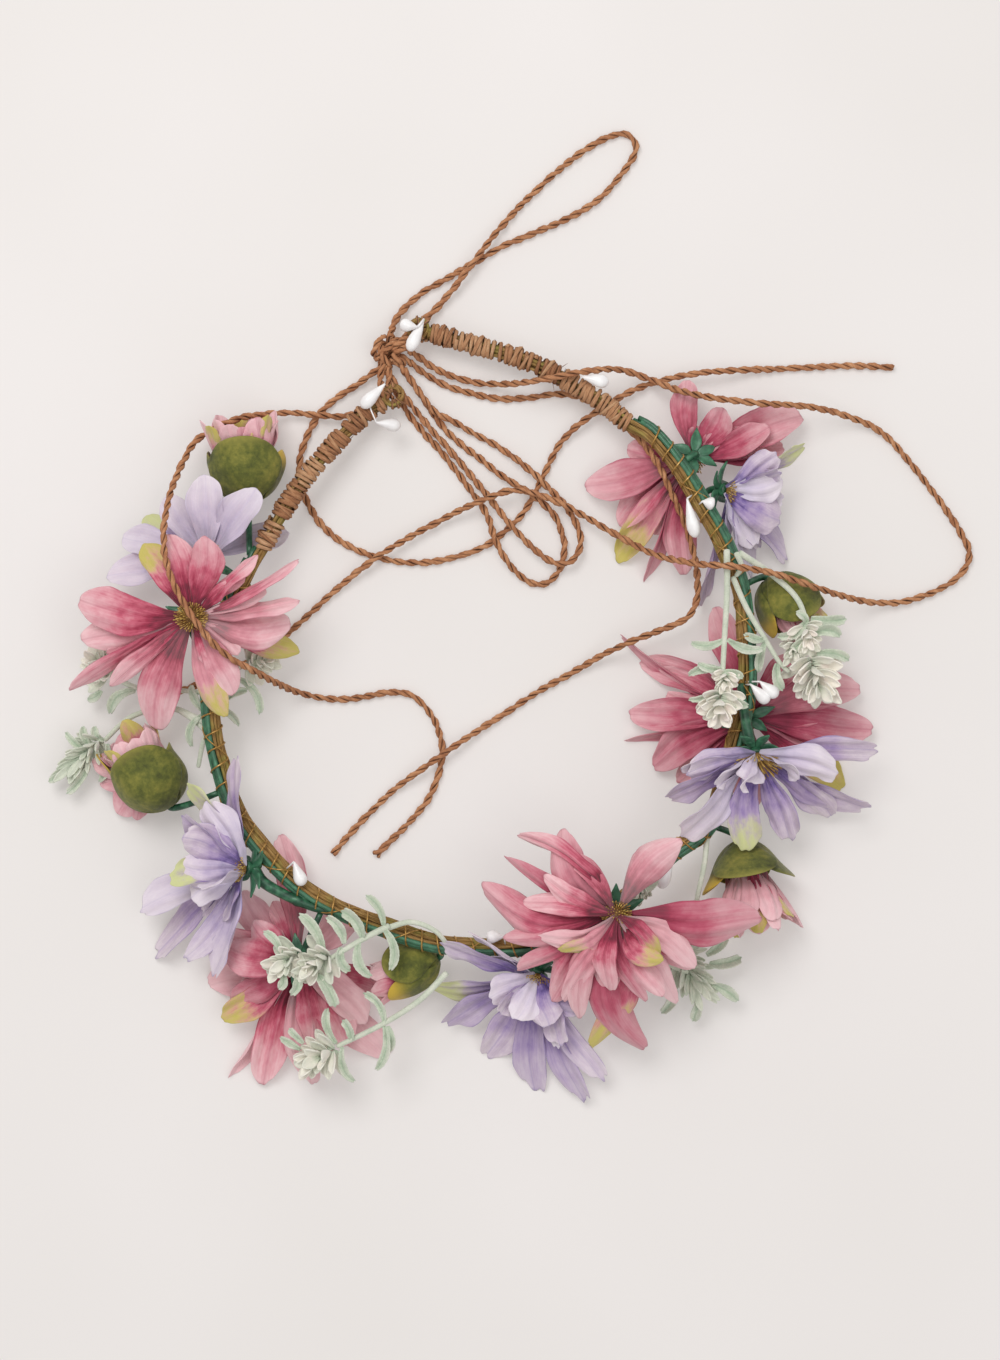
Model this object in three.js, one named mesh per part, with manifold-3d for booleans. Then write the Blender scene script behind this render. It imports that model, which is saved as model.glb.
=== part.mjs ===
// A flower crown lying on a flat surface, in millimetres, +Z up.
// The origin is under the middle of the crown, on that surface. The back of the head is at +Y,
// where the band is open and a bow of paper cord ties its two ends.
import * as THREE from "three";
import { mergeVertices } from "three/addons/utils/BufferGeometryUtils.js";
import Module from "manifold-3d";

const wasm = await Module();
wasm.setup();

// ---- Driving dimensions ----
const GAP = 0.3; // clearance between pieces that touch
const WIRE_D = 3.6; // paper-covered wire that makes the band
const EYELET_R = 3; // middle radius of the loop at each end of the wire
const EYELET_WIRE_D = 2.2;
const RIGHT_WRAP = [3, 76]; // stretch of the band under the right wrap, from the right end
const LEFT_WRAP = [3, 66]; // the same on the left, from the left end
const WRAP_D = 6.7;
const STEM_STRAND_D = 2.4; // bound flower stems that run along the band
const STRAND_OFFSET = 2.35; // outward and upward shift of that strand
const BUNDLE_OFFSET = 0.94; // the same for the middle of the whole bundle
const BUNDLE_MARGIN = 2; // bare band between a wrap and the bundle
const BINDING_R = 3.9; // radius of the binding wire's turns
const BINDING_D = 0.8;
const BINDING_TURNS = 16;
const CORD_D = 2.5; // twisted paper cord
const CORD_SIDES = 8;
const CORD_STEP = 3 * CORD_D;
const KNOT = { at: [-25.5, 121.5, 5], size: [6.2, 6, 4.6] };
const PETAL_T = 0.8;
const PETAL_NECK = 0.35; // width of a petal's foot, as a share of its full width
const HUB_R = 4;
const HUB_T = 1.2;
const HUB_OVERLAP = 1; // how far a petal's foot goes into the hub
const STEM_D = 2.2;
const STEM_REACH = 2; // how far a stem runs straight back before it bends to the bundle
const STEM_CLEARANCE = 0.5; // space between a stem's end and the binding wire's turns
const SPRIG_D = 1.6;
const BUD_WALL = 1;
const BUD_RIM = 0.4; // height of the cup's rim over the bud's middle, as a share of half its length
const BUD_FLOOR = -0.8; // height of the cup's floor, as the same share
const BUD_ROOM = 0.9; // space between the cup and the petals in it
const BERRY_WIRE_D = 0.8;

// ---- Turned outlines: [radius, height] ----
const CALYX_OUTLINE = [[0, -3.4], [STEM_D / 2, -3.4], [2.2, -1.6], [2.6, 0], [0, 0]];
const STAMEN_OUTLINE = [[0, 0], [1.9, 0], [2.2, 1.2], [1.4, 2.4], [0, 2.6]];
// These two are shares: of a cluster's radius and length, and in a berry's height of its length.
const CLUSTER_OUTLINE = [[0, -0.5], [0.55, -0.35], [1, 0], [0.6, 0.35], [0, 0.5]];
const BERRY_OUTLINE = [[0, 0], [0.5, 0.05], [0.8, 0.35], [2.2, 0.7], [1.6, 0.93], [0, 1]];

// ---- Colours and finishes ----
const FINISH = {
  vine: { color: 0x967d37, roughness: 0.8 },
  wrap: { color: 0xa57358, roughness: 0.85 },
  stem: { color: 0x2f6e52, roughness: 0.5 },
  wire: { color: 0xa07d46, roughness: 0.35, metalness: 0.8 },
  cord: { color: 0xb07858, roughness: 0.85 },
  pink: { color: 0xcd6e87, roughness: 0.9 },
  purple: { color: 0xaaa0d7, roughness: 0.9 },
  olive: { color: 0x5f692d, roughness: 0.85 },
  stamen: { color: 0xa5873f, roughness: 0.8 },
  sprig: { color: 0xafc3aa, roughness: 0.95 },
  berry: { color: 0xf5f3f3, roughness: 0.35 },
};

// ---- Route of the band, from its right end round the front to its left end ----
const BAND_ROUTE = [
  [-12, 128, 9], [2, 124, 10], [19, 119, 11], [34, 112, 12.5], [48, 103, 14], [55, 97, 16],
  [62, 93, 18], [72, 81, 20], [79, 69, 20], [87, 55, 20], [92, 41, 20], [94, 24, 20], [94, 5, 20],
  [90, -11, 20], [86, -26, 20], [81, -38, 20], [69, -47, 20], [55, -61, 20], [46, -68, 20],
  [33, -75, 20], [19, -78, 20], [-7, -77, 20], [-24, -72, 20], [-38, -67, 20], [-51, -60, 20],
  [-64, -48, 20], [-74, -35, 20], [-80, -18, 20], [-83, -1, 20], [-83, 16, 20], [-80, 27, 20],
  [-74, 41, 20], [-67, 55, 18.5], [-62, 64, 17], [-54, 77, 14.5], [-43, 90, 12], [-31, 102, 9.5],
  [-26, 105, 9],
];

// ---- Flowers. A petal is [direction in degrees, reach, height of its tip, width, rise] ----
const FLOWERS = {
  flower_1: {
    colour: "pink",
    hub: [77, 85, 13],
    face: [-0.25, -0.3, -0.92],
    petals: [
      [-166, 37, 6, 13, -1], [-136, 33, 4, 11, 0], [-126, 42, 1, 10, 1], [-110, 44, 1.5, 8, 0],
      [-94, 39, 7, 11, 0], [10, 32, 5, 10, 1], [22, 41, 9, 13, 2], [23, 28, 16, 9, 1],
      [57, 20, 14, 10, 1], [94, 27, 10, 9, 0], [171, 22, 8, 10, -1],
    ],
  },
  flower_2: {
    colour: "purple",
    hub: [89, 74, 16],
    face: [0.85, -0.15, 0.3],
    petals: [
      [-103, 40, 1.6, 10, 0], [-72, 30, 7, 12, 2], [-56, 22, 8, 10, 1], [-46, 31, 2.6, 10, 1],
      [-7, 19, 14, 9, 1], [19, 18, 23, 9, 3], [29, 30, 17, 8, 2], [30, 15, 5, 9, 0],
    ],
  },
  flower_3: {
    colour: "pink",
    hub: [96, -2, 8],
    face: [0, 0, -1],
    petals: [
      [-169, 42, 1, 6, 1], [-152, 36, 5, 12, 1], [-135, 32, 0.8, 9, 1], [-87, 32, 0.8, 11, 1],
      [-35, 41, 0.8, 11, 1], [-6, 43, 5, 13, 2], [14, 40, 8, 12, 3], [49, 28, 4, 11, 1],
      [106, 39, 6, 11, 1], [148, 51, 6, 6, 1], [153, 41, 1, 10, 1], [179, 40, 7, 11, 1],
    ],
  },
  flower_4: {
    colour: "purple",
    hub: [98, -15, 25],
    face: [0.03, -0.8, 0.55],
    petals: [
      [-170, 26, 33, 8, 4], [-154, 33, 29, 10, 7], [-148, 17, 36, 8, 4], [-131, 37, 30, 14, 8],
      [-112, 12, 38, 8, 3], [-96, 32, 23, 11, 3], [-67, 31, 17, 10, 3], [-39, 34, 8, 11, 2],
      [-26, 43, 12, 12, 3], [-23, 15, 36, 9, 4], [2, 41, 22, 9, 4],
    ],
  },
  flower_5: {
    colour: "pink",
    hub: [51, -67, 35],
    face: [0.05, -0.15, 1],
    petals: [
      [-167, 38, 33, 8, 3], [-150, 38, 28, 8, 3], [-126, 36, 24, 11, 4], [-100, 46, 16, 10, 6],
      [-98, 27, 30, 10, 4], [-77, 48, 15, 12, 6], [-61, 30, 36, 9, 3], [-43, 21, 44, 8, 2],
      [-36, 32, 26, 10, 4], [-1, 47, 30, 15, 5], [50, 32, 44, 12, 3], [122, 34, 38, 12, 4],
      [140, 42, 32, 8, 3], [151, 42, 37, 7, 3], [168, 46, 31, 12, 5],
    ],
  },
  flower_6: {
    colour: "purple",
    hub: [25, -89, 18],
    face: [-0.15, -0.75, 0.55],
    petals: [
      [-172, 36, 12, 10, 2], [-152, 35, 6, 11, 2], [-136, 17, 24, 9, 3], [-120, 34, 1.5, 12, 2],
      [-91, 40, 0.8, 11, 2], [-71, 24, 18, 9, 3], [-70, 46, 5, 9, 2], [-58, 42, 9, 8, 1],
      [144, 28, 31, 8, 6], [160, 34, 29, 10, 7],
    ],
  },
  flower_7: {
    colour: "pink",
    hub: [-55, -84, 10],
    face: [0, 0, -1],
    petals: [
      [-163, 33, 1, 12, 1], [-142, 33, 9, 10, 2], [-121, 47, 0.8, 8, 1], [-106, 45, 4, 12, 2],
      [-85, 42, 9, 10, 2], [-60, 33, 8, 12, 2], [-48, 45, 0.8, 12, 1], [-20, 36, 3, 11, 0],
      [47, 25, 3, 11, 0], [99, 43, 5, 10, 0], [131, 31, 3, 11, 0], [167, 30, 8, 12, 2],
    ],
  },
  flower_8: {
    colour: "purple",
    hub: [-73, -52, 23],
    face: [-0.85, 0.05, 0.5],
    petals: [
      [-173, 24, 30, 9, 4], [-157, 38, 12, 12, 2], [-155, 15, 36, 8, 3], [-135, 44, 1.5, 11, 2],
      [-123, 37, 14, 8, 2], [-106, 38, 18, 12, 3], [95, 37, 33, 10, 6], [122, 33, 27, 11, 3],
      [140, 26, 33, 10, 4],
    ],
  },
  flower_9: {
    colour: "pink",
    hub: [-89, 31, 36],
    face: [0, 0.05, 1],
    petals: [
      [-169, 39, 25, 11, 4], [-151, 48, 21, 7, 4], [-141, 36, 27, 7, 3], [-111, 40, 17, 14, 5],
      [-72, 34, 28, 9, 3], [-62, 29, 30, 10, 4], [-18, 36, 18, 9, 4], [-4, 32, 28, 13, 4],
      [9, 36, 34, 8, 3], [28, 40, 36, 7, 3], [45, 30, 38, 8, 3], [77, 27, 41, 11, 3],
      [105, 29, 35, 10, 4], [122, 30, 29, 11, 4], [170, 39, 32, 14, 4],
    ],
  },
  flower_10: {
    colour: "purple",
    hub: [-86, 51, 17],
    face: [0, 0.35, 0.9],
    petals: [
      [-170, 34, 16, 11, 3], [20, 29, 6, 10, 0], [54, 29, 27, 12, 4], [90, 28, 24, 12, 4],
      [122, 26, 13, 10, 3], [147, 27, 1, 9, 1], [164, 30, 14, 11, 3],
    ],
  },
};

// ---- Buds: middle, facing direction, radius and length ----
const BUDS = {
  bud_1: { at: [110, 35, 11], face: [0.55, -0.75, 0.1], radius: 10.5, length: 25 },
  bud_2: { at: [96, -57, 11.5], face: [0.15, -0.98, 0.1], radius: 10.5, length: 28 },
  bud_3: { at: [-19, -87, 12.5], face: [-0.9, -0.35, -0.1], radius: 8.5, length: 24 },
  bud_4: { at: [-105, -22, 12.5], face: [-0.5, 0.8, 0.1], radius: 12, length: 25 },
  bud_5: { at: [-73, 83, 12.8], face: [-0.05, 0.95, 0.15], radius: 12.5, length: 26 },
};

// ---- Sprigs: a stalk's route, and the leaf clusters on it as [middle, radius, length] ----
const SPRIGS = {
  sprig_1: {
    stalk: [
      [88, 54, 26.8], [88, 40, 27.6], [87, 24, 30], [86, 8, 32],
    ],
    clusters: [
      [[85, 1, 33], 7.5, 13], [[87, 10, 32], 4.5, 8],
    ],
  },
  sprig_2: {
    stalk: [
      [92, 53, 26.6], [104, 45, 23.6], [112, 37, 23.6], [116, 24, 25],
    ],
    clusters: [
      [[118, 10, 25], 9.5, 20], [[115, 24, 25.5], 5, 12],
    ],
  },
  sprig_3: {
    stalk: [
      [-24, -71, 28], [-34, -76, 30], [-44, -82, 31],
    ],
    clusters: [
      [[-49, -84, 31], 9, 15], [[-59, -83, 30], 7.5, 16],
    ],
  },
  sprig_4: {
    stalk: [
      [-5, -87, 23], [-14, -96, 24], [-26, -104, 22], [-42, -112, 20.8],
    ],
    clusters: [
      [[-49, -116, 20.5], 8.5, 18],
    ],
  },
  sprig_5: {
    stalk: [
      [-86, -4, 15], [-98, 1, 13], [-112, -2, 9], [-121, -10, 8.5],
    ],
    clusters: [
      [[-129, -16, 8.5], 8, 22],
    ],
  },
};

// ---- Waxed berries in pairs on a short wire: [wire end, tip] of each berry ----
const BERRIES = {
  berries_right: [
    [[-13, 132, 13], [-18, 121, 13.5]], [[-15, 129, 15], [-21, 130, 14]],
  ],
  berries_left: [
    [[-26, 110, 14.6], [-34, 102, 14]], [[-29, 97, 14.6], [-21, 96, 11]],
  ],
};

// ---- Free cords, from the knot or an eyelet to their ends ----
const CORD_ROUTES = {
  upper_loop: [
    [-24, 129, 5], [-22.5, 133, 3.2], [-18.5, 138, 1.9], [-13, 142.5, 1.5], [-6, 146.5, 1.5],
    [0, 150, 1.5], [6, 153.5, 1.5], [14, 158, 1.5], [23.5, 162, 1.5], [33, 166, 1.5],
    [41.5, 170.5, 1.5], [47.5, 175, 1.5], [52, 180, 1.5], [55.5, 184.5, 1.5], [58, 188.4, 1.5],
    [58.8, 191.3, 1.5], [57.7, 194.2, 1.5], [55, 195.9, 1.5], [51.2, 195.5, 1.5],
    [43.5, 191.8, 1.5], [35.5, 186, 1.5],
    [29, 180.5, 1.5], [21, 173, 1.6], [14.5, 166, 2.4], [8.5, 158.5, 4.4], [4, 152.5, 4.9],
    [-1, 146, 4.6], [-5.5, 140.5, 3.2], [-9.5, 136, 2.8], [-13, 132.5, 4.5],
  ],
  loop_a: [
    [-20, 115.5, 6.2], [-16.5, 110.5, 6], [-13, 105.5, 5.2], [-9, 101, 4.6], [-3, 98, 3.6],
    [4, 94, 2], [11.5, 90, 2], [18.5, 85, 4], [24, 80.5, 4.9], [29, 75.5, 4.9], [34, 70.5, 3.6],
    [38, 64.5, 2.2], [40, 59, 3.2], [39.7, 55.8, 3.9], [38.3, 52.4, 4.6],
    [35.8, 50.2, 4.9], [32.4, 49.8, 4.9], [28.5, 51.5, 4.9],
    [24, 55, 4.8], [19, 60, 4.9], [14.5, 65, 4.8], [10, 71, 3.8], [5.5, 76.5, 2.4], [1, 82, 2.8],
    [-4.5, 88.5, 4.1], [-10, 94.5, 4.2], [-15, 100.5, 4.5], [-19, 105.5, 5.7],
    [-22, 109.5, 6.2], [-24.5, 113, 6.2],
  ],
  loop_b: [
    [-20, 115.5, 2.9], [-16.5, 110.5, 1.8], [-13, 105.5, 1.5], [-9.5, 100, 1.5], [-5.5, 95, 1.5],
    [0, 90, 1.5], [6, 85.5, 1.6], [11.5, 81, 2.7], [17.5, 77, 4.6], [23, 73.5, 4.9],
    [27.5, 70, 4.8], [31.5, 65.5, 3.6], [33.5, 60.5, 2.1], [34.5, 55.5, 1.5], [33.7, 50.5, 1.5],
    [31.6, 46, 1.5], [27.5, 43, 1.5], [22.5, 43.8, 1.6], [17.5, 47.7, 3], [13.5, 53, 4.7],
    [10.5, 59, 4.9], [9, 64.5, 4.6], [6.5, 69.5, 3.6], [2.5, 75, 1.9], [-1.5, 80.5, 1.5],
    [-7, 87.5, 1.5], [-12, 93, 1.5], [-17.5, 99.5, 1.5], [-21, 105, 1.5], [-23, 109.5, 1.8],
    [-24.5, 113.3, 2.9],
  ],
  tail_r1: [
    [-18, 121.7, 7.6], [-7, 114.8, 3.6], [5, 111.3, 2.6], [14, 110.6, 6.6], [22, 110.8, 13],
    [30, 111.8, 17.8], [40, 113.6, 18.4], [48, 114.8, 15], [54, 114.9, 9.8], [61, 113, 7],
    [68, 110, 9.8], [75, 107, 16.5], [84, 104.8, 20.2], [100, 103.1, 18.7], [116, 102.3, 14.4],
    [130, 99.6, 6.8], [142, 94.5, 2.4], [156, 79, 1.6], [169, 60.5, 1.5], [172, 52.5, 1.5],
    [167, 44.5, 1.6], [151, 37.4, 2.2], [139, 36.7, 5.4], [128, 38.6, 13.6], [116, 42, 23],
    [104, 45.7, 27.8], [91, 48, 31.2], [78, 49.3, 25], [65, 52.6, 14.8], [53, 58.8, 9.9],
    [41, 66, 6.8], [30, 71.5, 7.8], [18, 74.6, 8.3], [5, 70.6, 6.9], [-8, 64.4, 3.8],
    [-29, 52.2, 4.9], [-43, 41.2, 2.2], [-60, 26, 1.5], [-78, 13.8, 1.5], [-97, 6.4, 1.5],
  ],
  tail_r2: [
    [-18, 118.3, 3.4], [-13, 114.5, 1.9], [-6, 110.5, 1.5], [3, 107.8, 1.5], [12.5, 106, 1.5],
    [22.5, 106.3, 1.5], [31.5, 107.6, 1.5], [40, 106.5, 1.5], [47, 102.7, 1.6], [51.5, 99.3, 4],
    [55, 96.3, 7], [61, 90, 12], [66, 82.3, 14.7], [70, 73.7, 15], [73.8, 65.6, 14.2],
    [76.5, 57.6, 13.2], [78.6, 49, 11.8], [79, 38.2, 11], [76, 31.8, 11], [68, 27.8, 10],
    [58, 24, 9.9], [53, 21.8, 8.6], [48, 19.4, 5.2], [37.5, 13.2, 1.8], [26, 6.8, 1.5], [15, -0.4, 1.5],
    [6.5, -5.8, 2.2], [-1.5, -11, 4.4], [-8, -15.5, 4.9], [-15, -20.5, 4.3], [-22.5, -26, 2.2],
    [-30, -33, 1.5], [-37, -40.2, 1.5], [-44, -48.5, 1.5],
  ],
  tail_l1: [
    [-30, 115, 3.6], [-35.5, 111, 2.1], [-42.5, 106.5, 1.5], [-48.5, 101, 1.5], [-53, 93, 1.5],
    [-55.5, 84.5, 1.5], [-54.5, 75.5, 1.5], [-50.5, 66.5, 1.5], [-43.5, 59, 1.5],
    [-34.5, 54, 1.5], [-24, 51, 1.5], [-14, 50.3, 1.5], [-3.5, 52, 1.5], [6.5, 55.5, 1.5],
    [15.5, 62, 1.5], [21, 68, 1.5], [25.5, 76, 1.5], [29.5, 84.5, 1.5], [33.5, 91.5, 2.2],
    [40.5, 98, 4.3], [47, 102.3, 4.9], [55.5, 107.5, 4.2], [63.5, 111, 2.8], [72, 113, 5],
    [80, 114.3, 7], [88.5, 115, 6], [98, 115.7, 3.2], [109, 116.2, 1.7], [121, 116.8, 1.5],
    [133.5, 117.2, 1.5], [146, 116.5, 1.5],
  ],
  tail_l2: [
    [-34, 101, 2.6], [-41, 99.8, 4.1], [-49, 100.2, 4.9], [-58, 101, 4.4], [-67, 100.2, 6.5],
    [-75.5, 98.5, 11.6], [-83.5, 95, 13], [-89.5, 91, 13], [-93.5, 83, 20], [-96.3, 74.3, 27.4],
    [-97.6, 66, 34.5], [-98, 59, 39], [-97.4, 51.5, 41], [-95.3, 44, 42], [-91.5, 36.4, 42.5],
    [-86.5, 28.5, 42], [-81.4, 22.3, 40.2], [-75.8, 17.4, 36], [-69, 13.5, 29.5],
    [-63, 9.8, 19.5], [-56, 6.4, 6.6], [-48, 4.4, 2.2], [-39, 4, 1.5], [-30.5, 5.4, 1.5],
    [-23.5, 6.4, 1.5], [-17.5, 5.3, 1.5], [-12, 0.5, 1.5], [-8.5, -6, 1.5], [-7, -13.5, 1.5],
    [-8.5, -22, 1.5], [-12, -30.3, 1.5], [-17.5, -37, 1.5], [-24, -43.5, 1.5], [-29.5, -49, 1.5],
  ],
};

// ---- Solids ----
const vec = (p) => new THREE.Vector3(p[0], p[1], p[2]);
const UP = new THREE.Vector3(0, 0, 1);

function solidOf(geometry) {
  const bare = geometry.clone();
  bare.deleteAttribute("normal");
  bare.deleteAttribute("uv");
  const merged = mergeVertices(bare);
  return new wasm.Manifold(new wasm.Mesh({
    numProp: 3,
    vertProperties: new Float32Array(merged.attributes.position.array),
    triVerts: new Uint32Array(merged.index.array),
  }));
}

function joined(geometries) {
  const whole = geometries.map(solidOf).reduce((sum, next) => sum.add(next)).getMesh();
  const geometry = new THREE.BufferGeometry();
  geometry.setAttribute("position", new THREE.BufferAttribute(whole.vertProperties, 3));
  geometry.setIndex(new THREE.BufferAttribute(whole.triVerts, 1));
  geometry.computeVertexNormals();
  return geometry;
}

function ring(radius, sides) {
  const points = [];
  for (let i = 0; i < sides; i += 1) {
    const turn = (2 * Math.PI * i) / sides;
    points.push(new THREE.Vector2(radius * Math.cos(turn), radius * Math.sin(turn)));
  }
  return points;
}

function tube(curve, diameter, sides, step, bore = 0) {
  const section = new THREE.Shape(ring(diameter / 2, sides));
  if (bore > 0) {
    section.holes.push(new THREE.Path(ring(bore / 2, sides)));
  }
  const steps = Math.max(1, Math.round(curve.getLength() / step));
  return new THREE.ExtrudeGeometry(section, { extrudePath: curve, steps, bevelEnabled: false });
}

function smooth(points) {
  return new THREE.CatmullRomCurve3(points, false, "centripetal");
}

function turned(outline, sides) {
  return new THREE.LatheGeometry(outline.map(([r, y]) => new THREE.Vector2(r, y)), sides);
}

// Turns a geometry made along +Y so that +Y points along `direction`, and moves it to `place`.
function aimed(geometry, place, direction) {
  const turn = new THREE.Quaternion().setFromUnitVectors(new THREE.Vector3(0, 1, 0), direction);
  geometry.applyQuaternion(turn);
  geometry.translate(place.x, place.y, place.z);
  return geometry;
}

// A thin leaf or petal: a flat plate bent along a curve, wide past its middle.
function blade(base, tip, rise, width, thickness, facing) {
  const middle = base.clone().lerp(tip, 0.5).addScaledVector(UP, rise);
  const line = new THREE.QuadraticBezierCurve3(base, middle, tip);
  const plate = new THREE.BoxGeometry(1, 1, 1, 2, 1, 1);
  const place = plate.attributes.position;
  for (let i = 0; i < place.count; i += 1) {
    const along = place.getX(i) + 0.5;
    const tangent = line.getTangent(along);
    const side = facing.clone().cross(tangent).normalize();
    const normal = tangent.clone().cross(side);
    const spread = width * (PETAL_NECK + (1 - PETAL_NECK) * Math.sin(Math.PI * along ** 1.2));
    const point = line.getPoint(along);
    point.addScaledVector(side, place.getY(i) * spread);
    point.addScaledVector(normal, place.getZ(i) * thickness);
    place.setXYZ(i, point.x, point.y, point.z);
  }
  return plate;
}

// ---- Band ----
const bandCurve = smooth(BAND_ROUTE.map(vec));
const bandLength = bandCurve.getLength();

class BandStretch extends THREE.Curve {
  constructor(from, to, outward = 0, upward = 0) {
    super();
    Object.assign(this, { from, to, outward, upward });
  }

  getPoint(t, target = new THREE.Vector3()) {
    const u = THREE.MathUtils.lerp(this.from, this.to, t) / bandLength;
    const across = bandCurve.getTangentAt(u).cross(UP).normalize();
    target.copy(bandCurve.getPointAt(u));
    return target.addScaledVector(across, -this.outward).addScaledVector(UP, this.upward);
  }
}

class BindingHelix extends THREE.Curve {
  constructor(core, radius, turns) {
    super();
    Object.assign(this, { core, radius, turns });
  }

  getPoint(t, target = new THREE.Vector3()) {
    const across = this.core.getTangent(t).cross(UP).normalize();
    const turn = 2 * Math.PI * this.turns * t;
    target.copy(this.core.getPoint(t));
    target.addScaledVector(across, this.radius * Math.cos(turn));
    return target.addScaledVector(UP, this.radius * Math.sin(turn));
  }
}

const boundFrom = RIGHT_WRAP[1] + BUNDLE_MARGIN;
const boundTo = bandLength - LEFT_WRAP[1] - BUNDLE_MARGIN;
const bundle = new BandStretch(boundFrom, boundTo, BUNDLE_OFFSET, BUNDLE_OFFSET);
const bundlePoints = bundle.getSpacedPoints(150).slice(3, -3);

function eyelet(u, direction) {
  const end = bandCurve.getPointAt(u);
  const outward = bandCurve.getTangentAt(u).multiplyScalar(direction);
  const loop = new THREE.TorusGeometry(EYELET_R, EYELET_WIRE_D / 2, 6, 14);
  const centre = end.addScaledVector(outward, EYELET_R);
  loop.translate(centre.x, centre.y, centre.z);
  return loop;
}

function bandWire() {
  const core = tube(bandCurve, WIRE_D, 7, 10);
  return joined([core, eyelet(0, -1), eyelet(1, 1)]);
}

function wrap(from, to) {
  return tube(new BandStretch(from, to), WRAP_D, 9, 8, WIRE_D + 4 * GAP);
}

// ---- Flowers ----
// The point where a stem meets the outside of the bound bundle, nearest to `from`.
function bundleExit(from) {
  const nearest = bundlePoints.reduce((a, b) => (a.distanceTo(from) < b.distanceTo(from) ? a : b));
  const away = from.clone().sub(nearest).normalize();
  return nearest.clone().addScaledVector(away, BINDING_R + BINDING_D / 2 + STEM_CLEARANCE);
}

function petals(flower) {
  const facing = vec(flower.face).normalize();
  const hub = vec(flower.hub);
  const pieces = [aimed(new THREE.CylinderGeometry(HUB_R, HUB_R, HUB_T, 8), hub, facing)];
  for (const [degrees, reach, height, width, rise] of flower.petals) {
    const turn = THREE.MathUtils.degToRad(degrees);
    const tip = new THREE.Vector3(hub.x + reach * Math.cos(turn), hub.y + reach * Math.sin(turn), height);
    const flat = tip.clone().sub(hub).projectOnPlane(facing).normalize();
    const base = hub.clone().addScaledVector(flat, HUB_R - HUB_OVERLAP);
    pieces.push(blade(base, tip, rise, width, PETAL_T, facing));
  }
  return joined(pieces);
}

// Green calyx behind the hub, with the stem that runs to the bundle.
function calyx(flower) {
  const facing = vec(flower.face).normalize();
  const back = vec(flower.hub).addScaledVector(facing, -(HUB_T / 2 + GAP));
  const pieces = [aimed(turned(CALYX_OUTLINE, 8), back, facing)];
  const neck = back.clone().addScaledVector(facing, -3);
  const exit = bundleExit(neck);
  if (exit.distanceTo(neck) > 1.5) {
    const knee = neck.clone().addScaledVector(facing, -STEM_REACH);
    pieces.push(tube(new THREE.QuadraticBezierCurve3(neck, knee, exit), STEM_D, 6, 4));
  }
  return joined(pieces);
}

function stamens(flower) {
  const facing = vec(flower.face).normalize();
  const front = vec(flower.hub).addScaledVector(facing, HUB_T / 2 + GAP);
  return aimed(turned(STAMEN_OUTLINE, 8), front, facing);
}

// ---- Buds ----
function eggRadius(radius, length, y) {
  return radius * Math.sqrt(Math.max(0, 1 - ((2 * y) / length) ** 2));
}

function budCup(bud) {
  const facing = vec(bud.face).normalize();
  const half = bud.length / 2;
  const shell = (k, wall) => [eggRadius(bud.radius, bud.length, k * half) - wall, k * half];
  const outer = [-1, -0.85, -0.5, 0, BUD_RIM].map((k) => shell(k, 0));
  const inner = [BUD_RIM, 0, -0.5, BUD_FLOOR].map((k) => shell(k, BUD_WALL));
  const cup = aimed(turned([...outer, ...inner, [0, BUD_FLOOR * half]], 10), vec(bud.at), facing);
  const neck = vec(bud.at).addScaledVector(facing, -0.94 * half);
  const exit = bundleExit(neck);
  const knee = neck.clone().addScaledVector(facing, -3);
  return joined([cup, tube(new THREE.QuadraticBezierCurve3(neck, knee, exit), STEM_D, 6, 4)]);
}

function budPetals(bud) {
  const facing = vec(bud.face).normalize();
  const half = bud.length / 2;
  const foot = BUD_FLOOR + 0.1;
  const outline = [[0, foot * half]];
  for (const k of [foot, -0.4, 0, BUD_RIM]) {
    outline.push([eggRadius(bud.radius, bud.length, k * half) - BUD_WALL - BUD_ROOM, k * half]);
  }
  outline.push([bud.radius * 0.62, 0.75 * half], [bud.radius * 0.25, half], [0, half]);
  return aimed(turned(outline, 10), vec(bud.at), facing);
}

// ---- Sprigs and berries ----
function leafCluster([place, radius, length], direction) {
  const outline = CLUSTER_OUTLINE.map(([r, k]) => [r * radius, k * length]);
  return aimed(turned(outline, 7), vec(place), direction);
}

function sprig({ stalk, clusters }) {
  const line = smooth(stalk.map(vec));
  const pieces = [tube(line, SPRIG_D, 5, 6)];
  for (const cluster of clusters) {
    pieces.push(leafCluster(cluster, line.getTangent(1)));
  }
  return joined(pieces);
}

function berries(pair) {
  const pieces = [];
  for (const [start, tip] of pair) {
    const line = vec(tip).sub(vec(start));
    const length = line.length();
    const outline = BERRY_OUTLINE.map(([r, k]) => [r, k * length]);
    pieces.push(aimed(turned(outline, 8), vec(start), line.normalize()));
  }
  const stalkEnds = pair.map(([start, tip]) => vec(start).lerp(vec(tip), 0.15));
  pieces.push(tube(new THREE.LineCurve3(stalkEnds[0], stalkEnds[1]), BERRY_WIRE_D, 5, 50));
  return joined(pieces);
}

// ---- Knot and cords ----
function bowKnot() {
  const lump = new THREE.SphereGeometry(1, 12, 8);
  lump.scale(...KNOT.size);
  lump.translate(...KNOT.at);
  return lump;
}

function cord(route) {
  return tube(smooth(route.map(vec)), CORD_D, CORD_SIDES, CORD_STEP);
}

// ---- Assembly ----
const crown = new THREE.Group();

function add(name, geometry, finish) {
  const material = new THREE.MeshStandardMaterial(FINISH[finish]);
  const mesh = new THREE.Mesh(geometry, material);
  mesh.name = name;
  crown.add(mesh);
}

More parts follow.
